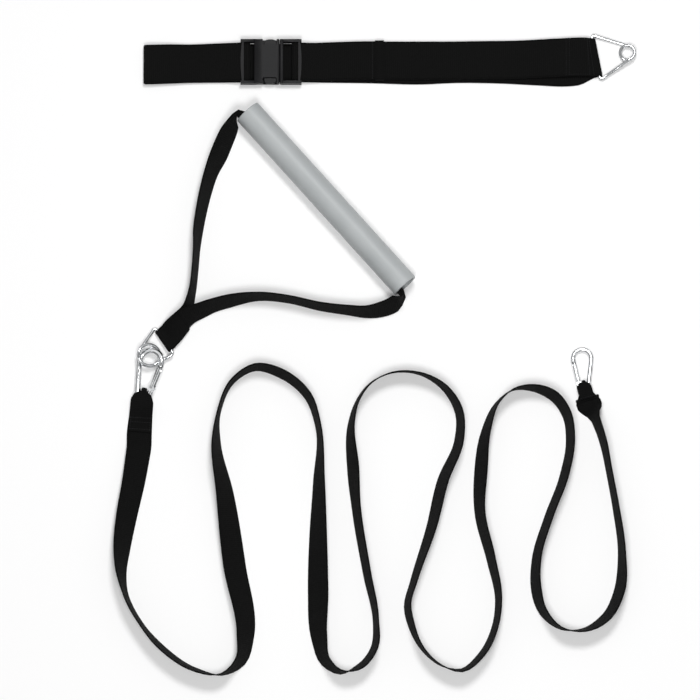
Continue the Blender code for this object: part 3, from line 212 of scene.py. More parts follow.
weave = {
    "pickLength": 0.0026,    # one rib along the strap
    "endWidth": 0.0011,      # one warp cord across it
    "slip": 0.12,            # how far, in picks, every other cord is slipped along
    "ribRound": 0.6,
    "pickRound": 0.5,
    "selvage": 0.0020,
    "selvageRise": 0.55,
    "groove": 0.00025,
    "grooveDepth": 0.5,
    # dark and light are the colour's two ends: the weave's grooves and the selvage groove line are painted
    # shade toward dark, its rib crests painted light toward light, mixed with random cloudy tone
    "dark": (0.0010, 0.0010, 0.0010),
    "light": (0.0058, 0.0059, 0.0058),
    "tintPlaces": (0.1, 0.95),
    "paintedShadeShare": 0.72,
    "cloudShare": 0.45,
    "cloudScale": 14,
    "cloudDetail": 6,
    "roughness": 0.84,
    "swing": 0.18,
    "sheen": 0.006,
    "sheenRoughness": 0.4,
    "specular": 0.07,
    "bump": 0.8,
    "bumpDistance": 0.0004,
}


def webbingMaterial(name, width):
    # UV is in metres: U along the strap, V across it
    spec = weave
    made, nodes, links, shader = newMaterial(name)
    uv = nodes.new("ShaderNodeUVMap")
    uv.uv_map = "strapUV"
    split = nodes.new("ShaderNodeSeparateXYZ")
    links.new(uv.outputs[0], split.inputs[0])
    along, aside = split.outputs[0], split.outputs[1]
    # warp cords stand as rounded ribs, every other one slipped a little along the strap
    ribs = mathNode(nodes, links, "MULTIPLY", aside, math.pi / spec["endWidth"])
    rib = mathNode(nodes, links, "ABSOLUTE", mathNode(nodes, links, "SINE", ribs, 0), 0)
    whole = mathNode(nodes, links, "FLOOR", mathNode(nodes, links, "DIVIDE", aside, spec["endWidth"]), 0)
    odd = mathNode(nodes, links, "MODULO", whole, 2)
    slipped = mathNode(nodes, links, "MULTIPLY", odd, spec["slip"] * spec["pickLength"])
    moved = mathNode(nodes, links, "ADD", along, slipped)
    picks = mathNode(nodes, links, "MULTIPLY", moved, math.pi / spec["pickLength"])
    pick = mathNode(nodes, links, "ABSOLUTE", mathNode(nodes, links, "SINE", picks, 0), 0)
    weft = mathNode(nodes, links, "MULTIPLY", mathNode(nodes, links, "POWER", rib, spec["ribRound"]),
                    mathNode(nodes, links, "POWER", pick, spec["pickRound"]))
    # a plain tubular edge runs along both sides
    fromMiddle = mathNode(nodes, links, "ABSOLUTE", aside, 0)
    inner = mathNode(nodes, links, "LESS_THAN", fromMiddle, width / 2 - spec["selvage"])
    groove = mathNode(nodes, links, "SUBTRACT", fromMiddle, width / 2 - spec["selvage"])
    line = mathNode(nodes, links, "LESS_THAN", mathNode(nodes, links, "ABSOLUTE", groove, 0), spec["groove"])
    edge = mathNode(nodes, links, "MULTIPLY", pick, spec["selvageRise"])
    outer = mathNode(nodes, links, "SUBTRACT", 1, inner)
    height = mathNode(nodes, links, "ADD", mathNode(nodes, links, "MULTIPLY", weft, inner),
                      mathNode(nodes, links, "MULTIPLY", edge, outer))
    cut = mathNode(nodes, links, "MULTIPLY", line, spec["grooveDepth"])
    height = mathNode(nodes, links, "SUBTRACT", height, cut)
    coords = nodes.new("ShaderNodeTexCoord")
    cloud = noiseNode(nodes, links, coords, spec["cloudScale"], spec["cloudDetail"])
    # base colour: the weave's height painted as shade in its grooves and groove line and as light on its rib
    # crests, mixed with random cloudy tone
    toneAndPaintedShade = mathNode(nodes, links, "ADD", mathNode(nodes, links, "MULTIPLY", height, spec["paintedShadeShare"]),
                     mathNode(nodes, links, "MULTIPLY", cloud, spec["cloudShare"]))
    stops = list(zip(spec["tintPlaces"], (spec["dark"], spec["light"])))
    links.new(colourRamp(nodes, links, toneAndPaintedShade, stops), shader.inputs["Base Color"])
    unevenGloss(nodes, links, shader, cloud, spec["roughness"], spec["swing"])
    shader.inputs["Sheen Weight"].default_value = spec["sheen"]
    shader.inputs["Sheen Roughness"].default_value = spec["sheenRoughness"]
    shader.inputs["Specular IOR Level"].default_value = spec["specular"]
    addBump(nodes, links, shader, height, spec["bump"], spec["bumpDistance"])
    return made


moulding = {
    "grainDetail": 4,
    "mottleScale": 22,
    "mottleDetail": 5,
    "mottlePlaces": (0.3, 0.72),
    "swing": 0.16,
    "bump": 0.25,
}


def mouldedPlastic(name, tint, light, roughness, grain, bumpDistance, specular):
    spec = moulding
    made, nodes, links, shader = newMaterial(name)
    coords = nodes.new("ShaderNodeTexCoord")
    fine = noiseNode(nodes, links, coords, grain, spec["grainDetail"])
    broad = noiseNode(nodes, links, coords, spec["mottleScale"], spec["mottleDetail"])
    stops = list(zip(spec["mottlePlaces"], (tint, light)))
    links.new(colourRamp(nodes, links, broad, stops), shader.inputs["Base Color"])
    unevenGloss(nodes, links, shader, broad, roughness, spec["swing"])
    shader.inputs["Specular IOR Level"].default_value = specular
    addBump(nodes, links, shader, fine, spec["bump"], bumpDistance)
    return made


plating = {
    "wearScale": 120,
    "wearDetail": 8,
    "wearPlaces": (0.35, 0.6),
    "swing": 0.12,
    "bump": 0.06,
    "bumpDistance": 0.0002,
}


def polishedSteel(name, tint, light, roughness):
    spec = plating
    made, nodes, links, shader = newMaterial(name)
    coords = nodes.new("ShaderNodeTexCoord")
    wear = noiseNode(nodes, links, coords, spec["wearScale"], spec["wearDetail"])
    stops = list(zip(spec["wearPlaces"], (tint, light)))
    links.new(colourRamp(nodes, links, wear, stops), shader.inputs["Base Color"])
    unevenGloss(nodes, links, shader, wear, roughness, spec["swing"])
    shader.inputs["Metallic"].default_value = 1
    addBump(nodes, links, shader, wear, spec["bump"], spec["bumpDistance"])
    return made


webbingWidths = {"belt": 0.050, "strap": 0.032}
looks = {
    "belt": webbingMaterial("beltWebbing", webbingWidths["belt"]),
    "strap": webbingMaterial("strapWebbing", webbingWidths["strap"]),
    "housing": mouldedPlastic(
        "housingBlack", (0.0045, 0.0045, 0.005), (0.009, 0.009, 0.010), 0.42, 900, 0.00006, 0.10),
    "latch": mouldedPlastic(
        "latchBlack", (0.003, 0.003, 0.0035), (0.007, 0.007, 0.008), 0.38, 700, 0.00005, 0.10),
    "grip": mouldedPlastic(
        "gripGrey", (0.375, 0.395, 0.400), (0.425, 0.445, 0.450), 0.46, 260, 0.00010, 0.4),
    "chrome": polishedSteel("ringChrome", (0.42, 0.43, 0.44), (0.58, 0.59, 0.60), 0.12),
    "hook": polishedSteel("hookChrome", (0.54, 0.55, 0.56), (0.72, 0.73, 0.74), 0.14),
    "steel": polishedSteel("pinSteel", (0.34, 0.34, 0.35), (0.52, 0.52, 0.53), 0.29),
    "thread": mouldedPlastic(
        "blackThread", (0.006, 0.006, 0.007), (0.022, 0.022, 0.024), 0.7, 2400, 0.00010, 0.2),
}
print("materials ready")


def finishMesh(name, bm, look, sharp=35):
    mesh = bpy.data.meshes.new(name)
    bm.to_mesh(mesh)
    bm.free()
    made = addObject(name, mesh)
    mesh.materials.append(look)
    mesh.shade_smooth()
    mesh.set_sharp_from_angle(angle=math.radians(sharp))
    return made


def skin(bm, rings, uvLayer, closed):
    # faces between neighbouring rings, whose members are a corner and its UV place
    for k in range(len(rings) if closed else len(rings) - 1):
        first, second = rings[k], rings[(k + 1) % len(rings)]
        for i in range(len(first)):
            n = (i + 1) % len(first)
            addFace(bm, (first[i], first[n], second[n], second[i]), uvLayer)


def addFace(bm, corners, uvLayer):
    face = bm.faces.new([corner for corner, place in corners])
    for loop, (_, place) in zip(face.loops, corners):
        loop[uvLayer].uv = place


selvageShares = {"flat": 0.9, "rim": 0.35}     # of half the thickness


def webbing(name, rows, look, columns=10):
    # rows of centre, across, width, thickness, curl; the section has rounded selvages
    bm = bmesh.new()
    uvLayer = bm.loops.layers.uv.new("strapUV")
    rings = []
    measured = 0.0
    last = len(rows) - 1
    for i, (centre, across, width, thickness, curl) in enumerate(rows):
        tangent = rows[min(i + 1, last)][0] - rows[max(i - 1, 0)][0]
        normal = across.cross(tangent).normalized()
        if i:
            measured += (centre - rows[i - 1][0]).length
        half = thickness / 2
        face, rim = width / 2 - half * selvageShares["flat"], half * selvageShares["rim"]
        flat = [face * (2 * c / columns - 1) for c in range(columns + 1)]
        section = [(x, -half) for x in flat] + [(width / 2, -rim), (width / 2, rim)]
        section += [(x, half) for x in flat[::-1]] + [(-width / 2, rim), (-width / 2, -rim)]
        ring = []
        for x, lift in section:
            if curl:
                radius = width / curl
                angle = x / radius
                point = centre + across * radius * math.sin(angle) + normal * radius * (1 - math.cos(angle))
                point += (normal * math.cos(angle) - across * math.sin(angle)) * lift
            else:
                point = centre + across * x + normal * lift
            ring.append((bm.verts.new(point - shift), (measured, x)))
        rings.append(ring)
    skin(bm, rings, uvLayer, False)
    for ring in (rings[0], rings[-1]):
        addFace(bm, ring, uvLayer)
    bmesh.ops.recalc_face_normals(bm, faces=bm.faces)
    return finishMesh(name, bm, look, 60)


def wireTree():
    # Geometry Nodes: round wire along a line
    tree = bpy.data.node_groups.new("wireAlongLine", "GeometryNodeTree")
    face = tree.interface
    face.new_socket("Line", in_out="INPUT", socket_type="NodeSocketGeometry")
    face.new_socket("Radius", in_out="INPUT", socket_type="NodeSocketFloat")
    face.new_socket("Sides", in_out="INPUT", socket_type="NodeSocketInt")
    face.new_socket("Finish", in_out="INPUT", socket_type="NodeSocketMaterial")
    face.new_socket("Wire", in_out="OUTPUT", socket_type="NodeSocketGeometry")
    nodes, links = tree.nodes, tree.links
    start, end = nodes.new("NodeGroupInput"), nodes.new("NodeGroupOutput")
    toCurve = nodes.new("GeometryNodeMeshToCurve")
    circle = nodes.new("GeometryNodeCurvePrimitiveCircle")
    sweep = nodes.new("GeometryNodeCurveToMesh")
    sweep.inputs["Fill Caps"].default_value = True
    smooth = nodes.new("GeometryNodeSetShadeSmooth")
    realize = nodes.new("GeometryNodeRealizeInstances")
    finish = nodes.new("GeometryNodeSetMaterial")
    links.new(start.outputs["Line"], toCurve.inputs[0])
    links.new(start.outputs["Radius"], circle.inputs["Radius"])
    links.new(start.outputs["Sides"], circle.inputs["Resolution"])
    links.new(toCurve.outputs[0], sweep.inputs["Curve"])
    links.new(circle.outputs[0], sweep.inputs["Profile Curve"])
    links.new(sweep.outputs[0], smooth.inputs[0])
    links.new(smooth.outputs[0], realize.inputs[0])
    links.new(realize.outputs[0], finish.inputs[0])
    links.new(start.outputs["Finish"], finish.inputs["Material"])
    links.new(finish.outputs[0], end.inputs[0])
    return tree


thread = {
    "length": 0.0024,
    "spacing": 0.0029,
    "thickness": 0.00060,
    "sunk": 0.00008,
    "segments": 8,
    "rings": 5,
    "beadRadius": 0.5,    # of a unit bead, which the stitch's sizes scale
}


def stitchTree():
    # Geometry Nodes: short thread beads laid end to end along seam lines
    tree = bpy.data.node_groups.new("stitchRows", "GeometryNodeTree")
    face = tree.interface
    face.new_socket("Seams", in_out="INPUT", socket_type="NodeSocketGeometry")
    for label in ("Stitch Length", "Spacing", "Thread"):
        face.new_socket(label, in_out="INPUT", socket_type="NodeSocketFloat")
    face.new_socket("Finish", in_out="INPUT", socket_type="NodeSocketMaterial")
    face.new_socket("Stitches", in_out="OUTPUT", socket_type="NodeSocketGeometry")
    nodes, links = tree.nodes, tree.links
    start, end = nodes.new("NodeGroupInput"), nodes.new("NodeGroupOutput")
    toCurve = nodes.new("GeometryNodeMeshToCurve")
    resample = nodes.new("GeometryNodeResampleCurve")
    resample.mode = "LENGTH"
    bead = nodes.new("GeometryNodeMeshUVSphere")
    bead.inputs["Segments"].default_value = thread["segments"]
    bead.inputs["Rings"].default_value = thread["rings"]
    bead.inputs["Radius"].default_value = thread["beadRadius"]
    place = nodes.new("GeometryNodeInstanceOnPoints")
    tangent = nodes.new("GeometryNodeInputTangent")
    turn = nodes.new("FunctionNodeAlignRotationToVector")
    turn.axis = "X"
    size = nodes.new("ShaderNodeCombineXYZ")
    smooth = nodes.new("GeometryNodeSetShadeSmooth")
    realize = nodes.new("GeometryNodeRealizeInstances")
    finish = nodes.new("GeometryNodeSetMaterial")
    links.new(start.outputs["Seams"], toCurve.inputs[0])
    links.new(toCurve.outputs[0], resample.inputs["Curve"])
    links.new(start.outputs["Spacing"], resample.inputs["Length"])
    links.new(resample.outputs[0], place.inputs["Points"])
    links.new(bead.outputs[0], place.inputs["Instance"])
    links.new(tangent.outputs[0], turn.inputs["Vector"])
    links.new(turn.outputs[0], place.inputs["Rotation"])
    links.new(start.outputs["Stitch Length"], size.inputs["X"])
    links.new(start.outputs["Thread"], size.inputs["Y"])
    links.new(start.outputs["Thread"], size.inputs["Z"])
    links.new(size.outputs[0], place.inputs["Scale"])
    links.new(place.outputs[0], realize.inputs[0])
    links.new(realize.outputs[0], smooth.inputs[0])
    links.new(smooth.outputs[0], finish.inputs[0])
    links.new(start.outputs["Finish"], finish.inputs["Material"])
    links.new(finish.outputs[0], end.inputs[0])
    return tree


trees = {"wire": wireTree(), "stitch": stitchTree()}


def runTree(name, lines, tree, values):
    # lines are lists of points in the frame; the result is one plain mesh
    mesh = bpy.data.meshes.new(name + "Lines")
    points, edges = [], []
    for line in lines:
        edges += [(len(points) + k, len(points) + k + 1) for k in range(len(line) - 1)]
        points += [tuple(point) for point in line]
    mesh.from_pydata(points, edges, [])
    source = addObject(name, mesh)
    step = source.modifiers.new("maker", "NODES")
    step.node_group = tree
    sockets = {item.name: item.identifier for item in tree.interface.items_tree if item.in_out == "INPUT"}
    for label, value in values.items():
        step[sockets[label]] = value
    seen = source.evaluated_get(bpy.context.evaluated_depsgraph_get())
    result = bpy.data.meshes.new_from_object(seen)
    source.modifiers.remove(step)
    source.data = result
    bpy.data.meshes.remove(mesh)
    return source


wireFinish = {"sides": 28, "weld": 0.000001, "sharp": 50}


def roundWire(name, points, radius, look):
    values = {"Radius": radius, "Sides": wireFinish["sides"], "Finish": look}
    made = runTree(name, [points], trees["wire"], values)
    bm = bmesh.new()
    bm.from_mesh(made.data)
    bmesh.ops.remove_doubles(bm, verts=bm.verts, dist=wireFinish["weld"])
    bmesh.ops.recalc_face_normals(bm, faces=bm.faces)
    bm.to_mesh(made.data)
    bm.free()
    made.data.shade_smooth()
    made.data.set_sharp_from_angle(angle=math.radians(wireFinish["sharp"]))
    return made


def stitches(name, seams):
    values = {
        "Stitch Length": thread["length"],
        "Spacing": thread["spacing"],
        "Thread": thread["thickness"],
        "Finish": looks["thread"],
    }
    return runTree(name, seams, trees["stitch"], values)


solidFinish = {"weld": 0.000002, "flatWithin": 1, "bevelSegments": 2}


def refined(node, name, look, bevel, sharp):
    # a CAD solid's own shape with joined faces, smooth shading and softened edges
    bm = bmesh.new()
    bm.from_mesh(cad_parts[node].data)
    bmesh.ops.remove_doubles(bm, verts=bm.verts, dist=solidFinish["weld"])
    flatWithin = math.radians(solidFinish["flatWithin"])
    bmesh.ops.dissolve_limit(bm, angle_limit=flatWithin, verts=bm.verts, edges=bm.edges)
    made = finishMesh(name, bm, look, sharp)
    if bevel:
        rim = made.modifiers.new("softEdge", "BEVEL")
        rim.width = bevel
        rim.segments = solidFinish["bevelSegments"]
        rim.limit_method = "ANGLE"
        rim.angle_limit = math.radians(sharp)
        rim.harden_normals = False
    return made


def dress(piece, body, slotName, *nodes):
    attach(piece, body)
    if nodes:
        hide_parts(*nodes)
    return piece


# Places of the hooks and the lead come first, because the cord does
nearHook = {
    "length": 0.080,
    "wire": 0.004,
    "wide": 0.0153,
    "hinge": 0.0185,
    "gate": 0.0270,
    "side": 1,
    "heading": 77.4,
    "sideRise": 0.37,
    "coilSide": 0.0035,
    "coilBack": 0.0082,
}
farHook = {
    "length": 0.060,
    "wire": 0.003,
    "wide": 0.01175,
    "hinge": 0.0046,
    "gate": 0.0270,
    "side": -1,
    "heading": 93.3,
    "x": 0.2985,
    "y": -0.0464,
}
hookTaper = math.radians(9.9)


def planMatrix(origin, forward, across):
    turned = Matrix((forward, across, forward.cross(across))).transposed().to_4x4()
    return Matrix.Translation(origin) @ turned


def sizeHook(spec):
    sine = math.sin(hookTaper)
    spec["distance"] = (spec["length"] - 2 * spec["wire"] - 2 * spec["wide"]) / (1 - sine)
    spec["narrow"] = spec["wide"] - spec["distance"] * sine


# Grip handle's plan, which the near hook hangs on
grip = {
    "length": 0.3036,
    "outer": 0.0175,
    "wall": 0.0035,
    "rim": 0.0011,
    "middle": (-0.0304, 0.1953),
    "heading": -48.3,
}
handleStrap = {
    "width": webbingWidths["strap"],
    "thickness": 0.0016,
    "leftExit": (0.0050, 95),
    "rightExit": (0.0075, 81),
    "exitCurl": 0.35,
    "yokeLeans": (50, -6.6),
    "yokeTurned": 0.86,
    "endSkew": -12.1,
    "layerGap": 0.0010,
    # along the tube, to its right (both in tube lengths) and lean in degrees
    "leftArm": (
        (-0.0555, 0.7170, 108), (-0.0833, 0.6789, 104), (-0.1399, 0.6151, 103), (-0.1989, 0.5542, 104),
        (-0.2582, 0.4929, 111), (-0.3122, 0.4266, 114), (-0.3635, 0.3566, 117), (-0.4104, 0.2825, 121),
        (-0.4498, 0.1993, 132), (-0.4818, 0.1332, 130), (-0.5040, 0.0760, 116)),
    "rightArm": (
        (0.5260, 0.0790, 58), (0.5060, 0.1420, 62), (0.4691, 0.1988, 71), (0.4221, 0.2419, 76),
        (0.3250, 0.3255, 80), (0.2184, 0.4006, 82), (0.1244, 0.4869, 80), (0.0542, 0.5944, 68),
        (0.0215, 0.6620, 65), (0.0080, 0.7000, 60)),
    "inside": ((-1, 94), (-0.6, 92), (-0.2, 90), (0.2, 88), (0.6, 86), (1, 84)),
    "yokeStart": (-0.0161, 0.7528),
    "yokeEnd": (-0.0040, 0.9204),
    "yokeRows": (0.08, 0.17, 0.26, 0.35, 0.44, 0.53, 0.62, 0.70, 0.78, 0.86),
    "foldPieces": 12,
    "columns": 12,
    "leastCurl": 0.05,
    "step": 0.007,
}
ringWire = {
    "radius": 0.0020,
    "coilGap": 0.0014,
    "corner": 0.0030,
    "cornerPieces": 8,
    "sideRoom": 0.0021,
    "baseGap": 0.0048,
    "turnPieces": 44,
    "legPieces": 10,
}
handleRing = {
    "reach": 0.0268,
    "coil": 0.01375,
    "coilShift": -0.0059,
    "coilMiddle": 0.0057,
    "coilRise": 0.0065,
}
strapLayer = handleStrap["thickness"] + handleStrap["layerGap"]
strapFold = ringWire["radius"] + clearance + handleStrap["thickness"] / 2


def tubePlace(alongShare, rightShare):
    heading = ahead(grip["heading"])
    offset = (heading * alongShare + rightOf(heading) * rightShare) * grip["length"]
    return Vector((*grip["middle"], 0)) + offset


def yokeFrame(share):
    start, end = tubePlace(*handleStrap["yokeStart"]), tubePlace(*handleStrap["yokeEnd"])
    eased = share * share * (3 - 2 * share)
    skew = Matrix.Rotation(math.radians(handleStrap["endSkew"]) * eased, 3, "Z")
    heading = skew @ (end - start).normalized()
    firstLean, lastLean = handleStrap["yokeLeans"]
    lean = firstLean + (lastLean - firstLean) * min(1, share / handleStrap["yokeTurned"]) ** 2
    across = leaning(heading, lean)
    layers = 2 * strapLayer + (2 * strapFold - 2 * strapLayer) * share ** 2
    middle = start.lerp(end, share)
    middle.z = standingHeight(handleStrap["width"], layers + handleStrap["thickness"], lean) + clearance / 2
    return middle, across, across.cross(heading), heading


yokeSpan = (tubePlace(*handleStrap["yokeEnd"]) - tubePlace(*handleStrap["yokeStart"])).length
yokeRingShare = 1 - (strapFold + handleStrap["thickness"] / 2) / yokeSpan


def handleRingMiddle():
    base, _, _, heading = yokeFrame(yokeRingShare)
    middle = base + heading * handleRing["reach"] + rightOf(heading) * handleRing["coilShift"]
    middle.z = 0
    return middle


def placeHooks():
    for spec in (nearHook, farHook):
        sizeHook(spec)
    forward = ahead(nearHook["heading"])
    right = rightOf(forward)
    rise = nearHook["sideRise"]
    wide = handleRingMiddle() + right * nearHook["coilSide"] - forward * nearHook["coilBack"]
    narrow = wide - forward * nearHook["distance"]
    narrow.z = leadStrap["thickness"] + 2 * clearance + nearHook["wire"] + nearHook["narrow"] * rise
    wideZ = nearHook["wire"] + nearHook["wide"] * rise
    xAxis = (right + up * rise).normalized()
    yAxis = (forward + up * (wideZ - narrow.z) / nearHook["distance"]).normalized()
    yAxis = (yAxis - xAxis * xAxis.dot(yAxis)).normalized()
    nearHook["place"] = planMatrix(narrow, xAxis, yAxis)
    forward = ahead(farHook["heading"])
    narrowZ = leadStrap["farGatherThickness"] + clearance + farHook["wire"]
    slope = (farHook["wire"] - narrowZ) / (farHook["distance"] + farHook["wide"])
    yAxis = (forward + up * slope).normalized()
    farHook["place"] = planMatrix(Vector((farHook["x"], farHook["y"], narrowZ)), rightOf(forward), yAxis)


leadStrap = {
    "width": webbingWidths["strap"],
    "thickness": 0.0016,
    "step": 0.0075,
    "nearGatherWidth": 0.0072,
    "nearGatherThickness": 0.0030,
    "nearPocketWidth": 0.0295,
    "nearPocketDepth": 0.0150,
    "exitRoom": 0.004,
    "nearTail": 0.040,
    "nearTailHeading": 85.5,
    "farGatherWidth": 0.0050,
    "farGatherThickness": 0.0026,
    "farPocketWidth": 0.0185,
    "farPocketDepth": 0.0072,
    "farTail": 0.018,
    "farTailHeading": 106,
    # x, y and lean in degrees: 0 lies flat to the right, 90 stands on edge, 180 lies flat to the left
    "route": (
        (-0.2692, -0.127, 14), (-0.2755, -0.168, 26), (-0.2850, -0.217, 37), (-0.2903, -0.255, 49),
        (-0.2913, -0.287, 66), (-0.2845, -0.319, 78),
        (-0.267, -0.352, 78), (-0.238, -0.386, 72), (-0.197, -0.413, 74), (-0.163, -0.419, 86),
        (-0.139, -0.401, 112), (-0.133, -0.368, 133), (-0.147, -0.278, 153), (-0.1595, -0.185, 134),
        (-0.1705, -0.118, 109), (-0.167, -0.080, 95), (-0.149, -0.040, 94), (-0.121, -0.023, 97),
        (-0.088, -0.031, 103), (-0.053, -0.061, 103), (-0.0405, -0.098, 101), (-0.0395, -0.170, 117),
        (-0.0405, -0.240, 134), (-0.0405, -0.312, 144), (-0.0388, -0.372, 128), (-0.031, -0.402, 110),
        (-0.012, -0.416, 92), (0.014, -0.408, 70), (0.031, -0.385, 72), (0.033, -0.350, 78),
        (0.022, -0.290, 74), (0.0082, -0.205, 71), (0.0042, -0.155, 63), (0.0018, -0.095, 75),
        (0.009, -0.068, 80), (0.026, -0.044, 81), (0.054, -0.030, 82), (0.088, -0.031, 86),
        (0.122, -0.051, 98), (0.139, -0.080, 106), (0.139, -0.118, 112), (0.119, -0.168, 118),
        (0.104, -0.229, 115), (0.081, -0.300, 107), (0.0732, -0.330, 105), (0.078, -0.355, 102),
        (0.093, -0.387, 92), (0.117, -0.408, 84), (0.142, -0.414, 75), (0.167, -0.394, 72),
        (0.185, -0.356, 75), (0.189, -0.322, 76), (0.1795, -0.270, 72), (0.1655, -0.210, 67),
        (0.1668, -0.158, 59), (0.1735, -0.105, 68), (0.188, -0.069, 79), (0.208, -0.052, 84),
        (0.235, -0.050, 97), (0.262, -0.062, 107), (0.277, -0.085, 108), (0.281, -0.116, 109),
        (0.273, -0.163, 111), (0.253, -0.217, 111), (0.2375, -0.270, 111), (0.2368, -0.308, 112),
        (0.2455, -0.338, 104), (0.269, -0.360, 87), (0.298, -0.362, 74), (0.327, -0.344, 64),
        (0.342, -0.314, 64), (0.346, -0.264, 74), (0.3385, -0.203, 78), (0.330, -0.156, 79),
        (0.3240, -0.124, 77), (0.3187, -0.1054, 76), (0.3130, -0.0895, 73),
    ),
}


# Shares that shape a sewn end: of the pocket's depth, of its width, of the gather or of the tail
sewnShares = {
    "overRise": 1.06,
    "gatherStart": 0.72,
    "neck": 0.6,
    "neckWidth": 0.8,
    "bend": 0.4,
    "longTail": 1.3,
    "tailStart": 1.1,
    "tailLevel": 0.8,
    "tailFall": 1.7,
    "tailWidth": 0.95,
    "clearStart": 0.7,
}


def sewnEnd(hook, depth, pocket, gather, gatherThick, tail, tailHeading):
    # rows of along, height, width, thickness and roll, under the hook's wire and back over it
    shares = sewnShares
    plan = Matrix(hook["place"])
    origin = Vector((plan.translation.x, plan.translation.y, 0))
    hookWay = Vector((plan.col[1].x, plan.col[1].y, 0)).normalized()
    middleZ = plan.translation.z
    thick = leadStrap["thickness"]
    flat = thick / 2
    clear = hook["narrow"] + hook["wire"] + clearance
    under = middleZ - hook["wire"] - clearance - gatherThick / 2
    over = middleZ + (hook["wire"] + clearance + gatherThick / 2) * shares["overRise"]
    gatherStart = depth * shares["gatherStart"]
    neck, neckWidth = gatherStart * shares["neck"], pocket * shares["neckWidth"]
    back = depth - gatherThick / 2
    bend = hook["wire"] * shares["bend"]
    longTail = tail > clear * shares["longTail"]
    rows = [
        (-tail * shares["tailStart"], flat, leadStrap["width"] if longTail else pocket, thick, 0),
        (-clear, flat, pocket, thick, 0),
        (0, flat, pocket, thick, 0),
        (neck, flat, neckWidth, thick, 0),
        (gatherStart, flat, gather, thick, 0),
        (back, under + bend, gather, gatherThick, 0.3),
        (back + gatherThick * shares["bend"], middleZ, gather, gatherThick, 0.6),
        (back, over - bend, gather, gatherThick, 0.9),
        (gatherStart, over, gather, gatherThick, 1),
        (neck, over, neckWidth, thick, 1),
        (0, over, pocket, thick, 1),
        (-clear * shares["clearStart"], over - clearance, pocket, thick, 1),
    ]
    upper = flat + thick + clearance
    endWidth = pocket
    if longTail:
        endWidth = leadStrap["width"] * shares["tailWidth"]
        rows.append((-clear * shares["tailFall"], (over + upper) / 2, pocket, thick, 0.6))
        rows.append((-tail * shares["tailLevel"], upper, endWidth, thick, 0))
    rows.append((-tail, upper + clearance, endWidth, thick, 0))
    sideRise = Vector(plan.col[0][:3]).z
    made = []
    for along, z, width, thickness, roll in rows:
        forward = ahead(tailHeading) if along < 0 else hookWay
        place = origin + forward * along
        place.z = z
        made.append((place, (rightOf(forward) + up * sideRise * roll).normalized(), width, thickness))
    return made


def leadRows():
    spec = leadStrap
    nearEnd = sewnEnd(nearHook, spec["nearPocketDepth"], spec["nearPocketWidth"], spec["nearGatherWidth"],
                      spec["nearGatherThickness"], spec["nearTail"], spec["nearTailHeading"])
    farEnd = sewnEnd(farHook, spec["farPocketDepth"], spec["farPocketWidth"], spec["farGatherWidth"],
                     spec["farGatherThickness"], spec["farTail"], spec["farTailHeading"])
    rows = [(*place, *-across, width, thickness) for place, across, width, thickness in nearEnd[::-1]]
    course = []
    for x, y, _, lean in smoothTable([(x, y, 0, lean) for x, y, lean in spec["route"]], spec["step"]):
        course.append((Vector((x, y, 0)), lean))
    for i, (place, lean) in enumerate(course):
        before, after = course[max(i - 1, 0)][0], course[min(i + 1, len(course) - 1)][0]
        across = leaning((after - before).normalized(), lean)
        height = standingHeight(spec["width"], spec["thickness"], lean)
        rows.append((place.x, place.y, height, *across, spec["width"], spec["thickness"]))
    rows += [(*place, *across, width, thickness) for place, across, width, thickness in farEnd]
    made = []
    for x, y, z, a, b, c, width, thickness in smoothTable(rows, spec["step"]):
        made.append((Vector((x, y, z)), Vector((a, b, c)).normalized(), width, thickness, 0))
    return made


placeHooks()
leadCourse = leadRows()
leadWebbing = webbing("leadWebbing", leadCourse, looks["strap"])
dress(leadWebbing, "set", "lead_webbing", "lead_strap")


def onStrap(course, distance, place):
    # a point on a strap's upper face: distance from its start, or from its end when below zero
    rows = course if distance >= 0 else course[::-1]
    left = abs(distance)
    for first, second in zip(rows, rows[1:]):
        length = (second[0] - first[0]).length
        if left <= length:
            break
        left -= length
    share = min(left / length, 1)
    across = first[1].lerp(second[1], share)
    width = first[2] + (second[2] - first[2]) * share
    thickness = first[3] + (second[3] - first[3]) * share
    normal = across.cross(second[0] - first[0]).normalized()
    if normal.z < 0:
        normal = -normal
    centre = first[0].lerp(second[0], share)
    return centre + across * width * place + normal * (thickness / 2 + thread["sunk"]) - shift


# Places across a strap are shares of its width; distances run along it
seam = {"reach": 0.42, "beltReach": 0.46, "halfPieces": 8, "step": 0.003}


def crossSeam(course, distance, reach=seam["reach"], slant=0.0):
    # thread straight across a strap, or slanting along it by that length
    half = seam["halfPieces"]
    places = [reach * k / half for k in range(-half, half + 1)]
    return [onStrap(course, distance + slant * place, place) for place in places]


def longSeam(course, start, end, place):
    count = max(2, round(abs(end - start) / seam["step"]))
    return [onStrap(course, start + (end - start) * k / count, place) for k in range(count + 1)]


def farthest(course, direction):
    # distance along a strap of its farthest place in a direction
    last = max(range(len(course)), key=lambda i: course[i][0].dot(direction))
    return sum((course[i + 1][0] - course[i][0]).length for i in range(last))


leadSeam = {"across": (0.0030, 0.0125, 0.0185, -0.0025, -0.0085), "along": (0.0030, 0.0185)}
leadSeams = [crossSeam(leadCourse, distance) for distance in leadSeam["across"]]
leadSeams += [longSeam(leadCourse, *leadSeam["along"], side * seam["reach"]) for side in (-1, 1)]
dress(stitches("leadStitches", leadSeams), "set", "lead_webbing")


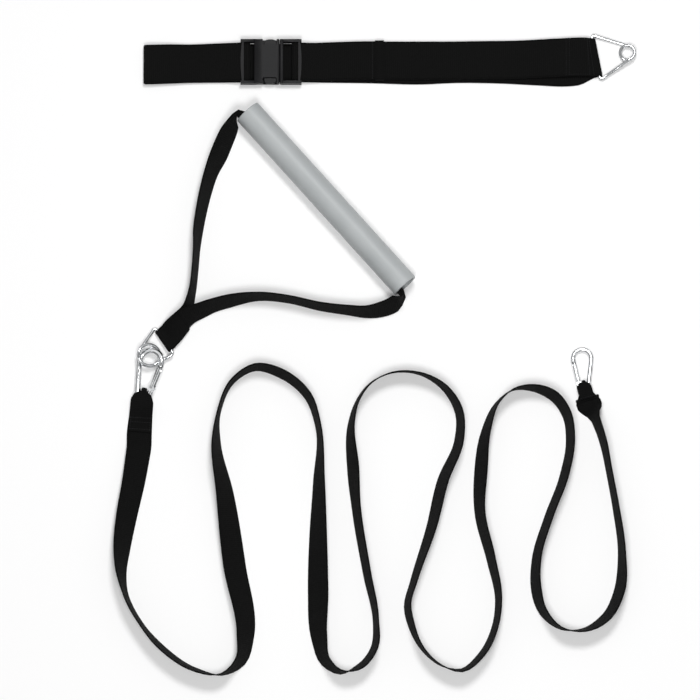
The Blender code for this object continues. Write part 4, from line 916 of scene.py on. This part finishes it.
belt = {
    "width": webbingWidths["belt"],
    "thickness": 0.0018,
    "left": -0.2647,
    "span": 0.5839,
    "middleY": 0.3755,
    "foldSkew": 10.9,
    "bulge": 0.0046,
    "tailUnder": 0.014,
    "keeperThickness": 0.0010,
    "keeperWidth": 0.0115,
    "keeperShare": 0.518,
    "step": 0.006,
    "foldPieces": 14,
    "wrapPieces": 12,
    "columns": 14,
    "housingTail": 1.5,      # in lengths of the tail under
    "housingReturn": 2,
    "leftRise": 1.7,         # in bulges
    "ringLevel": 0.95,
    # shares of the span where a layer's rows lie
    "lowerRows": (0.05, 0.1, 0.2, 0.3, 0.4, 0.5, 0.6, 0.7, 0.78, 0.86, 0.92, 0.955),
    "ringRows": (0.965, 0.90),
    "upperRows": (0.82, 0.74, 0.66, 0.58, 0.5, 0.42),
    # share of the span, and sideways place in belt widths
    "upperShift": (
        (0.0, -0.06), (0.10, -0.03), (0.20, 0.0), (0.36, 0.0), (0.46, 0.046), (0.66, 0.046),
        (0.80, 0.066), (0.88, 0.105), (0.94, 0.150), (1.0, 0.134)),
    "lowerShift": (
        (0.0, -0.06), (0.12, -0.02), (0.30, 0.0), (0.50, -0.030), (0.64, -0.070), (0.72, -0.010),
        (0.80, -0.040), (0.88, -0.090), (0.94, -0.125), (0.965, -0.060), (1.0, 0.134)),
}
buckle = {
    "place": 0.1244,
    "length": 0.0782,
    "endBarLength": 0.0042,
    "wrapBar": 0.0015,
    "wrapInset": 0.0091,
}
lowerZ = belt["thickness"] / 2
layerRise = belt["thickness"] + clearance
mainZ = lowerZ + layerRise + belt["keeperThickness"] + clearance
tailZ = mainZ + layerRise
wrapRadius = buckle["wrapBar"] + clearance + belt["thickness"] / 2
wrapZ = mainZ + wrapRadius
buckleLeft = belt["left"] + buckle["place"]
buckleRight = buckleLeft + buckle["length"]
foldX = belt["left"] + belt["span"]
ringFold = ringWire["radius"] + clearance + belt["thickness"] / 2
beltRingZ = lowerZ + ringFold
beltRingX = foldX - ringFold - belt["thickness"] / 2
keeperX = belt["left"] + belt["span"] * belt["keeperShare"]


def beltShift(x, shares):
    place = min(max((x - belt["left"]) / belt["span"], 0), 1)
    for (start, first), (end, second) in zip(shares, shares[1:]):
        if place <= end:
            t = (place - start) / (end - start)
            return belt["width"] * (first + (second - first) * t * t * (3 - 2 * t))
    return belt["width"] * shares[-1][1]


def beltRows():
    # one strip: housing bar, left fold, lower layer, ring fold, upper layer, tongue bar, tail
    thick, left, span, under = belt["thickness"], belt["left"], belt["span"], belt["tailUnder"]
    bulge = belt["bulge"]
    leftBar, rightBar = buckleLeft + buckle["wrapInset"], buckleRight - buckle["wrapInset"]
    underBar = wrapZ + wrapRadius
    strip = [(leftBar - under * belt["housingTail"], lowerZ + layerRise), (leftBar - under / 2, mainZ)]
    strip += arc(leftBar, wrapZ, wrapRadius, -90, 90, belt["wrapPieces"])
    strip.append((buckleLeft + buckle["endBarLength"] / 2, underBar))
    strip.append((leftBar - under * belt["housingReturn"], tailZ + clearance))
    strip.append((left + buckle["place"] / 2, mainZ))
    strip.append((left + buckle["place"] / 4, lowerZ + bulge * belt["leftRise"]))
    strip += arc(left + bulge + thick / 2, lowerZ + bulge, bulge, 90, 270, belt["foldPieces"])
    lower = [(left + span * share, lowerZ) for share in belt["lowerRows"]]
    fold = arc(beltRingX, beltRingZ, ringFold, -90, 90, belt["foldPieces"])
    ringHeights = (beltRingZ + ringFold * belt["ringLevel"], beltRingZ + thick)
    upper = [(left + span * share, height) for share, height in zip(belt["ringRows"], ringHeights)]
    upper += [(left + span * share, mainZ) for share in belt["upperRows"]]
    upper.append((buckleRight, mainZ))
    wrap = arc(rightBar, wrapZ, wrapRadius, 270, 90, belt["wrapPieces"])
    tail = [(buckleRight - buckle["endBarLength"] / 2, underBar), (buckleRight + under, tailZ + thick / 2)]
    tail += [(buckleRight + under * 2, tailZ), (keeperX - belt["keeperWidth"], tailZ), (keeperX, tailZ)]
    path = []
    for group, shares in ((strip, belt["upperShift"]), (lower, belt["lowerShift"])):
        path += [(x, beltShift(x, shares), z, 0) for x, z in group]
    path += [(x, belt["width"] * belt["upperShift"][-1][1], z, belt["foldSkew"]) for x, z in fold]
    for group in (upper, wrap, tail):
        path += [(x, beltShift(x, belt["upperShift"]), z, 0) for x, z in group]
    rows = []
    for x, aside, z, skew in smoothTable(path, belt["step"], free=0):
        across = Matrix.Rotation(math.radians(skew), 3, "Z") @ Vector((0, 1, 0))
        rows.append((Vector((x, belt["middleY"] + aside, z)), across, belt["width"], thick, 0))
    return rows


beltCourse = beltRows()
beltWebbing = webbing("beltWebbingStrip", beltCourse, looks["belt"], belt["columns"])
dress(beltWebbing, "set", "belt_webbing", "belt_strap")
beltSeam = {"behindRing": (0.0105, 0.0145, 0.0390, 0.0430), "tail": (-0.0030, -0.0090)}
beltFold = farthest(beltCourse, Vector((1, 0, 0)))
foldSeams = [beltFold + distance for distance in beltSeam["behindRing"]]
beltSeams = [crossSeam(beltCourse, distance, seam["beltReach"]) for distance in foldSeams]
beltSeams += [longSeam(beltCourse, *foldSeams[1:3], side * seam["beltReach"]) for side in (-1, 1)]
beltSeams += [crossSeam(beltCourse, distance, seam["beltReach"]) for distance in beltSeam["tail"]]
dress(stitches("beltStitches", beltSeams), "set", "belt_webbing")
print("belt ready")


def gripStrapRows():
    layer, fold, width = strapLayer, strapFold, handleStrap["width"]
    thick = handleStrap["thickness"]
    curlRadius = grip["outer"] - grip["wall"] - clearance - thick / 2
    fullCurl = width / curlRadius

    def yokeRow(share, offset):
        middle, across, normal, _ = yokeFrame(share)
        return middle + normal * offset, across, 0

    def armRows(table):
        places = [tubePlace(along, aside) for along, aside, _ in table]
        found = []
        for i, place in enumerate(places):
            heading = (places[min(i + 1, len(places) - 1)] - places[max(i - 1, 0)]).normalized()
            place.z = standingHeight(width, thick, table[i][2])
            found.append((place, leaning(heading, table[i][2]), 0))
        return found

    shares = handleStrap["yokeRows"]
    rows = [yokeRow(share, layer + (fold - layer) * share ** 2) for share in shares[2:]]
    middle, across, normal, heading = yokeFrame(yokeRingShare)
    for k in range(handleStrap["foldPieces"] + 1):
        angle = math.pi * k / handleStrap["foldPieces"]
        rows.append((middle + (normal * math.cos(angle) + heading * math.sin(angle)) * fold, across, 0))
    rows += [yokeRow(share, -layer - (fold - layer) * share ** 2) for share in shares[::-1]]
    rows += armRows(handleStrap["leftArm"])
    heading = ahead(grip["heading"])
    axis = Vector((*grip["middle"], grip["outer"]))
    half = grip["length"] / 2

    def boreRow(along, lean, curl):
        across = leaning(heading, lean)
        return axis + heading * along + heading.cross(across) * curlRadius, across, curl

    leftOut, leftLean = handleStrap["leftExit"]
    rightOut, rightLean = handleStrap["rightExit"]
    outCurl = fullCurl * handleStrap["exitCurl"]
    rows.append(boreRow(-half - leftOut, leftLean, outCurl))
    rows += [boreRow(half * share, lean, fullCurl) for share, lean in handleStrap["inside"]]
    rows.append(boreRow(half + rightOut, rightLean, outCurl))
    rows += armRows(handleStrap["rightArm"])
    rows += [yokeRow(share, 0) for share in shares[1:-3]]
    flat = [(*centre, *across, curl) for centre, across, curl in rows]
    made = []
    for x, y, z, a, b, c, curl in smoothTable(flat, handleStrap["step"]):
        curl = 0 if curl < handleStrap["leastCurl"] else curl
        made.append((Vector((x, y, z)), Vector((a, b, c)).normalized(), width, thick, curl))
    return made


gripCourse = gripStrapRows()
gripWebbing = webbing("gripStrapWebbing", gripCourse, looks["strap"], handleStrap["columns"])
dress(gripWebbing, "set", "handle_webbing", "handle_strap")
gripSeam = {"behindRing": (0.0075, 0.0115, 0.0270, 0.0310), "cross": 0.0190, "slant": 0.013}
yokeFold = farthest(gripCourse, yokeFrame(1)[3])
gripSeams = [crossSeam(gripCourse, yokeFold + distance) for distance in gripSeam["behindRing"]]
for side in (1, -1):
    gripSeams.append(crossSeam(gripCourse, yokeFold + gripSeam["cross"], slant=side * gripSeam["slant"]))
dress(stitches("gripStitches", gripSeams), "set", "handle_webbing")
print("grip strap ready")


def roundedCorner(corner, before, after, radius, pieces):
    back, forward = (before - corner).normalized(), (after - corner).normalized()
    half = back.angle(forward) / 2
    centre = corner + (back + forward).normalized() * (radius / math.sin(half))
    first = corner + back * (radius / math.tan(half)) - centre
    last = corner + forward * (radius / math.tan(half)) - centre
    return [centre + first.slerp(last, k / pieces).normalized() * radius for k in range(pieces + 1)]


def ringLine(halfBase, reach, aside, coil, coilZ):
    # base along Y, two legs and one full extra turn round the eye at +X
    upper, lower = Vector((0, halfBase, 0)), Vector((0, -halfBase, 0))
    centre = Vector((reach, aside, 0))
    tangents = []
    for corner, side in ((upper, 1), (lower, -1)):
        line = centre - corner
        leg = Matrix.Rotation(side * math.asin(coil / line.length), 3, "Z") @ line.normalized()
        tangents.append(corner + leg * math.sqrt(line.length ** 2 - coil ** 2))
    start = math.degrees(math.atan2(tangents[0].y - centre.y, tangents[0].x - centre.x))
    end = math.degrees(math.atan2(tangents[1].y - centre.y, tangents[1].x - centre.x))
    sweep = (start - end) % 360 + 360
    count = round(sweep / 360 * ringWire["turnPieces"])
    turns = []
    for k in range(count + 1):
        turned = sweep * k / count
        angle = math.radians(start - turned)
        spot = centre + Vector((math.cos(angle), math.sin(angle), 0)) * coil
        turns.append(spot + up * coilZ(turned, spot))
    legs = []
    for corner, endPoint in ((upper, turns[0]), (lower, turns[-1])):
        flatEnd = Vector((endPoint.x, endPoint.y, 0))
        baseEnd = Vector((0, math.copysign(ringWire["baseGap"] / 2, corner.y), 0))
        bend = roundedCorner(corner, baseEnd, flatEnd, ringWire["corner"], ringWire["cornerPieces"])
        pieces = ringWire["legPieces"]
        leg = [baseEnd] + bend + [bend[-1].lerp(flatEnd, t / pieces) for t in range(1, pieces)]
        run = (flatEnd - bend[-1]).length
        lifted = []
        for point in leg:
            t = 0.0 if point.x <= bend[-1].x else 1 - (flatEnd - point).length / run
            lifted.append(point + up * (endPoint.z * t * t * (3 - 2 * t)))
        legs.append(lifted)
    return legs[0] + turns + legs[1][::-1]


beltRing = {"reach": 0.0409, "coil": 0.0093, "coilShift": -0.0021}


def makeBeltRing():
    turn = Matrix.Rotation(math.radians(belt["foldSkew"]), 3, "Z")
    origin = Vector((beltRingX, belt["middleY"] + belt["width"] * belt["upperShift"][-1][1], beltRingZ))
    pitch = 2 * ringWire["radius"] + ringWire["coilGap"]
    lowest = ringWire["radius"] - beltRingZ
    halfBase = belt["width"] / 2 + ringWire["sideRoom"] + ringWire["corner"]
    line = ringLine(halfBase, beltRing["reach"], beltRing["coilShift"], beltRing["coil"],
                    lambda turned, spot: lowest + pitch * turned / 360)
    place = planMatrix(origin, turn @ Vector((1, 0, 0)), turn @ Vector((0, 1, 0)))
    points = [place @ point - shift for point in line]
    return roundWire("beltRingWire", points, ringWire["radius"], looks["chrome"])


def makeHandleRing():
    base, across, _, heading = yokeFrame(yokeRingShare)
    side = rightOf(heading)
    lean = -across if across.dot(side) < 0 else across
    pitch = 2 * ringWire["radius"] + ringWire["coilGap"]
    downhill = rightOf(ahead(nearHook["heading"]))
    centre = handleRingMiddle()

    def coilZ(turned, spot):
        world = base + heading * spot.x + side * spot.y
        along = (world - centre).dot(downhill) / handleRing["coil"]
        return handleRing["coilMiddle"] - base.z - handleRing["coilRise"] * along + pitch * turned / 360

    halfBase = handleStrap["width"] / 2 + ringWire["sideRoom"] + ringWire["corner"]
    line = ringLine(halfBase, handleRing["reach"], handleRing["coilShift"], handleRing["coil"], coilZ)
    tilt = lean.z / lean.dot(side)
    points = []
    for point in line:
        fade = max(0, 1 - point.x / (handleRing["reach"] / 2))
        lifted = point.z + tilt * point.y * fade
        points.append(base + heading * point.x + side * point.y + up * lifted - shift)
    return roundWire("handleRingWire", points, ringWire["radius"], looks["chrome"])


dress(makeBeltRing(), "ring", "belt_ring_chrome", "belt_ring")
dress(makeHandleRing(), "set", "handle_ring_chrome", "handle_ring")
print("rings ready")


# Snap hooks keep their CAD shape, smoothed, with their own steel
hookFinish = {"sharp": 40, "gateBevel": 0.0002}
for end in ("near", "far"):
    frameNode, gateNode = end + "_carabiner_frame", end + "_carabiner_gate"
    hookFrame = refined(frameNode, end + "HookFrame", looks["hook"], 0, hookFinish["sharp"])
    dress(hookFrame, "set", frameNode + "_steel", frameNode)
    gate = refined(gateNode, end + "HookGate", looks["hook"], hookFinish["gateBevel"], hookFinish["sharp"])
    dress(gate, end + "_gate", gateNode + "_steel", gateNode)
    for small in ("pin", "spring"):
        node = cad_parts[end + "_carabiner_" + small]
        node.data.materials.clear()
        node.data.materials.append(looks["steel"])
print("hooks ready")


# Grip tube: a plain sleeve turned about its own axis, both rims rounded
sleeve = {"sides": 144, "bands": (1, 0.9, 0.6, 0.3, 0), "rimPieces": 5, "sharp": 40}


def makeGrip():
    half, outer = grip["length"] / 2, grip["outer"]
    inner, rim = outer - grip["wall"], grip["rim"]
    profile = [(outer, (half - rim) * share) for share in sleeve["bands"][:0:-1]]
    profile += arc(outer - rim, half - rim, rim, 0, 90, sleeve["rimPieces"])
    profile += arc(inner + rim, half - rim, rim, 90, 180, sleeve["rimPieces"])
    profile += [(inner, (half - rim) * share) for share in sleeve["bands"][1:]]
    profile += [(r, -z) for r, z in profile[::-1] if z > 0]
    bm = bmesh.new()
    rows = []
    for k in range(sleeve["sides"]):
        angle = math.radians(360 * k / sleeve["sides"])
        rows.append([bm.verts.new((r * math.cos(angle), r * math.sin(angle), z)) for r, z in profile])
    for k, first in enumerate(rows):
        second = rows[(k + 1) % len(rows)]
        for i in range(len(profile)):
            j = (i + 1) % len(profile)
            bm.faces.new((first[i], first[j], second[j], second[i]))
    heading = ahead(grip["heading"])
    turn = planMatrix(Vector((*grip["middle"], grip["outer"])) - shift, rightOf(heading), up)
    bmesh.ops.transform(bm, matrix=turn, verts=bm.verts)
    bmesh.ops.recalc_face_normals(bm, faces=bm.faces)
    return finishMesh("gripSleeve", bm, looks["grip"], sleeve["sharp"])


dress(makeGrip(), "grip", "tube_plastic", "handle_tube")
print("grip ready")


buckleFinish = {"sharp": 30, "bodyBevel": 0.00025, "latchBevel": 0.0005}
for part in ("housing", "tongue"):
    node, label = "buckle_" + part, "buckle" + part.title()
    shell = refined(node, label, looks["housing"], buckleFinish["bodyBevel"], buckleFinish["sharp"])
    dress(shell, "set", part + "_plastic", node)
for side in ("left", "right"):
    node = "buckle_latch_" + side
    label = "buckleLatch" + side.title()
    latch = refined(node, label, looks["latch"], buckleFinish["latchBevel"], buckleFinish["sharp"])
    dress(latch, "latch_" + side, node + "_plastic", node)
print("buckle ready")


keeper = {
    "ribs": 9,
    "ribHeight": 0.00022,
    "ribPieces": 4,
    "corner": 0.0009,
    "cornerPieces": 4,
    "inset": 0.00002,
}


def makeKeeper():
    # elastic band: a closed ribbon round the belt's two upper layers, ribbed along its length
    low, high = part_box("belt_keeper")
    middle = (Vector(low) + Vector(high)) / 2
    width, thick = belt["keeperWidth"], belt["keeperThickness"]
    halfY, halfZ = (high[1] - low[1]) / 2 - thick, (high[2] - low[2]) / 2 - thick
    loop = []
    corner = keeper["corner"]
    for signY, signZ, start in ((1, 1, 0), (-1, 1, 90), (-1, -1, 180), (1, -1, 270)):
        for k in range(keeper["cornerPieces"] + 1):
            angle = math.radians(start + 90 * k / keeper["cornerPieces"])
            outY, outZ = math.cos(angle), math.sin(angle)
            y, z = (halfY - corner) * signY + corner * outY, (halfZ - corner) * signZ + corner * outZ
            loop.append((y, z, outY, outZ))
    bm = bmesh.new()
    uvLayer = bm.loops.layers.uv.new("strapUV")
    across = keeper["ribPieces"] * keeper["ribs"]
    rings = []
    for y, z, ny, nz in loop:
        ring = []
        for k in range(across + 1):
            x = width * (k / across - 1 / 2)
            dip = (1 + math.cos(2 * math.pi * k / keeper["ribPieces"])) / 2
            lift = thick - keeper["ribHeight"] * dip - keeper["inset"]
            ring.append(((x, y + ny * lift, z + nz * lift), x))
        ring.append(((width / 2, y, z), width / 2))
        ring.append(((-width / 2, y, z), -width / 2))
        corners = [(bm.verts.new(middle + Vector(point)), x) for point, x in ring]
        rings.append([(made, (made.co.y, x)) for made, x in corners])
    skin(bm, rings, uvLayer, True)
    bmesh.ops.recalc_face_normals(bm, faces=bm.faces)
    return finishMesh("keeperBand", bm, looks["strap"], 60)


dress(makeKeeper(), "keeper", "keeper_elastic", "belt_keeper")
print("keeper ready")


studio = {
    "fill": 0.18,
    "floorGlow": 0.16,
    "floorHalf": 6,
    "floorDrop": 0.0002,
    "floorTint": (0.96, 0.96, 0.96, 1),
    "floorRoughness": 0.9,
    "lampSize": 1.0,
    "lamps": (("behind", (0.25, 1.15, 3.3), 66.0), ("front", (-0.10, -1.45, 3.3), 56.0)),
    # world seen in reflections, by height of the direction: floor line, dark room, bright ceiling, dim zenith
    "reflected": (
        (0.0, 0.8), (0.04, 0.8), (0.10, 0.04), (0.45, 0.04),
        (0.56, 1.0), (0.88, 1.0), (0.95, 0.15), (1.0, 0.15)),
}


def makeStage():
    bm = bmesh.new()
    bmesh.ops.create_grid(bm, x_segments=1, y_segments=1, size=studio["floorHalf"])
    bmesh.ops.translate(bm, vec=(0, 0, cadLow[2] - studio["floorDrop"]), verts=bm.verts)
    made, nodes, links, shader = newMaterial("paperWhite")
    shader.inputs["Base Color"].default_value = studio["floorTint"]
    shader.inputs["Roughness"].default_value = studio["floorRoughness"]
    glow = nodes.new("ShaderNodeEmission")
    glow.inputs["Strength"].default_value = 1.0
    path = nodes.new("ShaderNodeLightPath")
    seen = mathNode(nodes, links, "MAXIMUM", path.outputs["Is Camera Ray"], path.outputs["Is Glossy Ray"])
    seen = mathNode(nodes, links, "MAXIMUM", seen, path.outputs["Is Transmission Ray"])
    share = mathNode(nodes, links, "MULTIPLY", seen, studio["floorGlow"])
    mix = nodes.new("ShaderNodeMixShader")
    links.new(share, mix.inputs[0])
    links.new(shader.outputs[0], mix.inputs[1])
    links.new(glow.outputs[0], mix.inputs[2])
    links.new(mix.outputs[0], nodes["Material Output"].inputs["Surface"])
    mesh = bpy.data.meshes.new("paperFloor")
    bm.to_mesh(mesh)
    bm.free()
    mesh.materials.append(made)
    addObject("paperFloor", mesh)


def makeLights():
    world = bpy.data.worlds.new("studio")
    bpy.context.scene.world = world
    world.use_nodes = True
    nodes, links = world.node_tree.nodes, world.node_tree.links
    coords = nodes.new("ShaderNodeTexCoord")
    split = nodes.new("ShaderNodeSeparateXYZ")
    links.new(coords.outputs["Generated"], split.inputs[0])
    stops = [(place, (level, level, level)) for place, level in studio["reflected"]]
    room = colourRamp(nodes, links, split.outputs[2], stops)
    path = nodes.new("ShaderNodeLightPath")
    mirrored = nodes.new("ShaderNodeBackground")
    links.new(room, mirrored.inputs["Color"])
    fill = nodes["Background"]
    fill.inputs["Color"].default_value = (1, 1, 1, 1)
    level = mathNode(nodes, links, "MULTIPLY_ADD", path.outputs["Is Camera Ray"], 1 - studio["fill"])
    level.node.inputs[2].default_value = studio["fill"]
    links.new(level, fill.inputs["Strength"])
    mix = nodes.new("ShaderNodeMixShader")
    links.new(path.outputs["Is Glossy Ray"], mix.inputs[0])
    links.new(fill.outputs[0], mix.inputs[1])
    links.new(mirrored.outputs[0], mix.inputs[2])
    links.new(mix.outputs[0], nodes["World Output"].inputs["Surface"])
    for label, place, power in studio["lamps"]:
        data = bpy.data.lights.new(label + "Lamp", "AREA")
        data.shape = "DISK"
        data.size = studio["lampSize"]
        data.energy = power
        lamp = addObject(label + "Lamp", data)
        lamp.location = place
        lamp.rotation_mode = "QUATERNION"
        lamp.rotation_quaternion = Vector(place).to_track_quat("Z", "Y")


makeStage()
makeLights()
bpy.context.scene.view_settings.view_transform = "Standard"
print("stage and light ready")
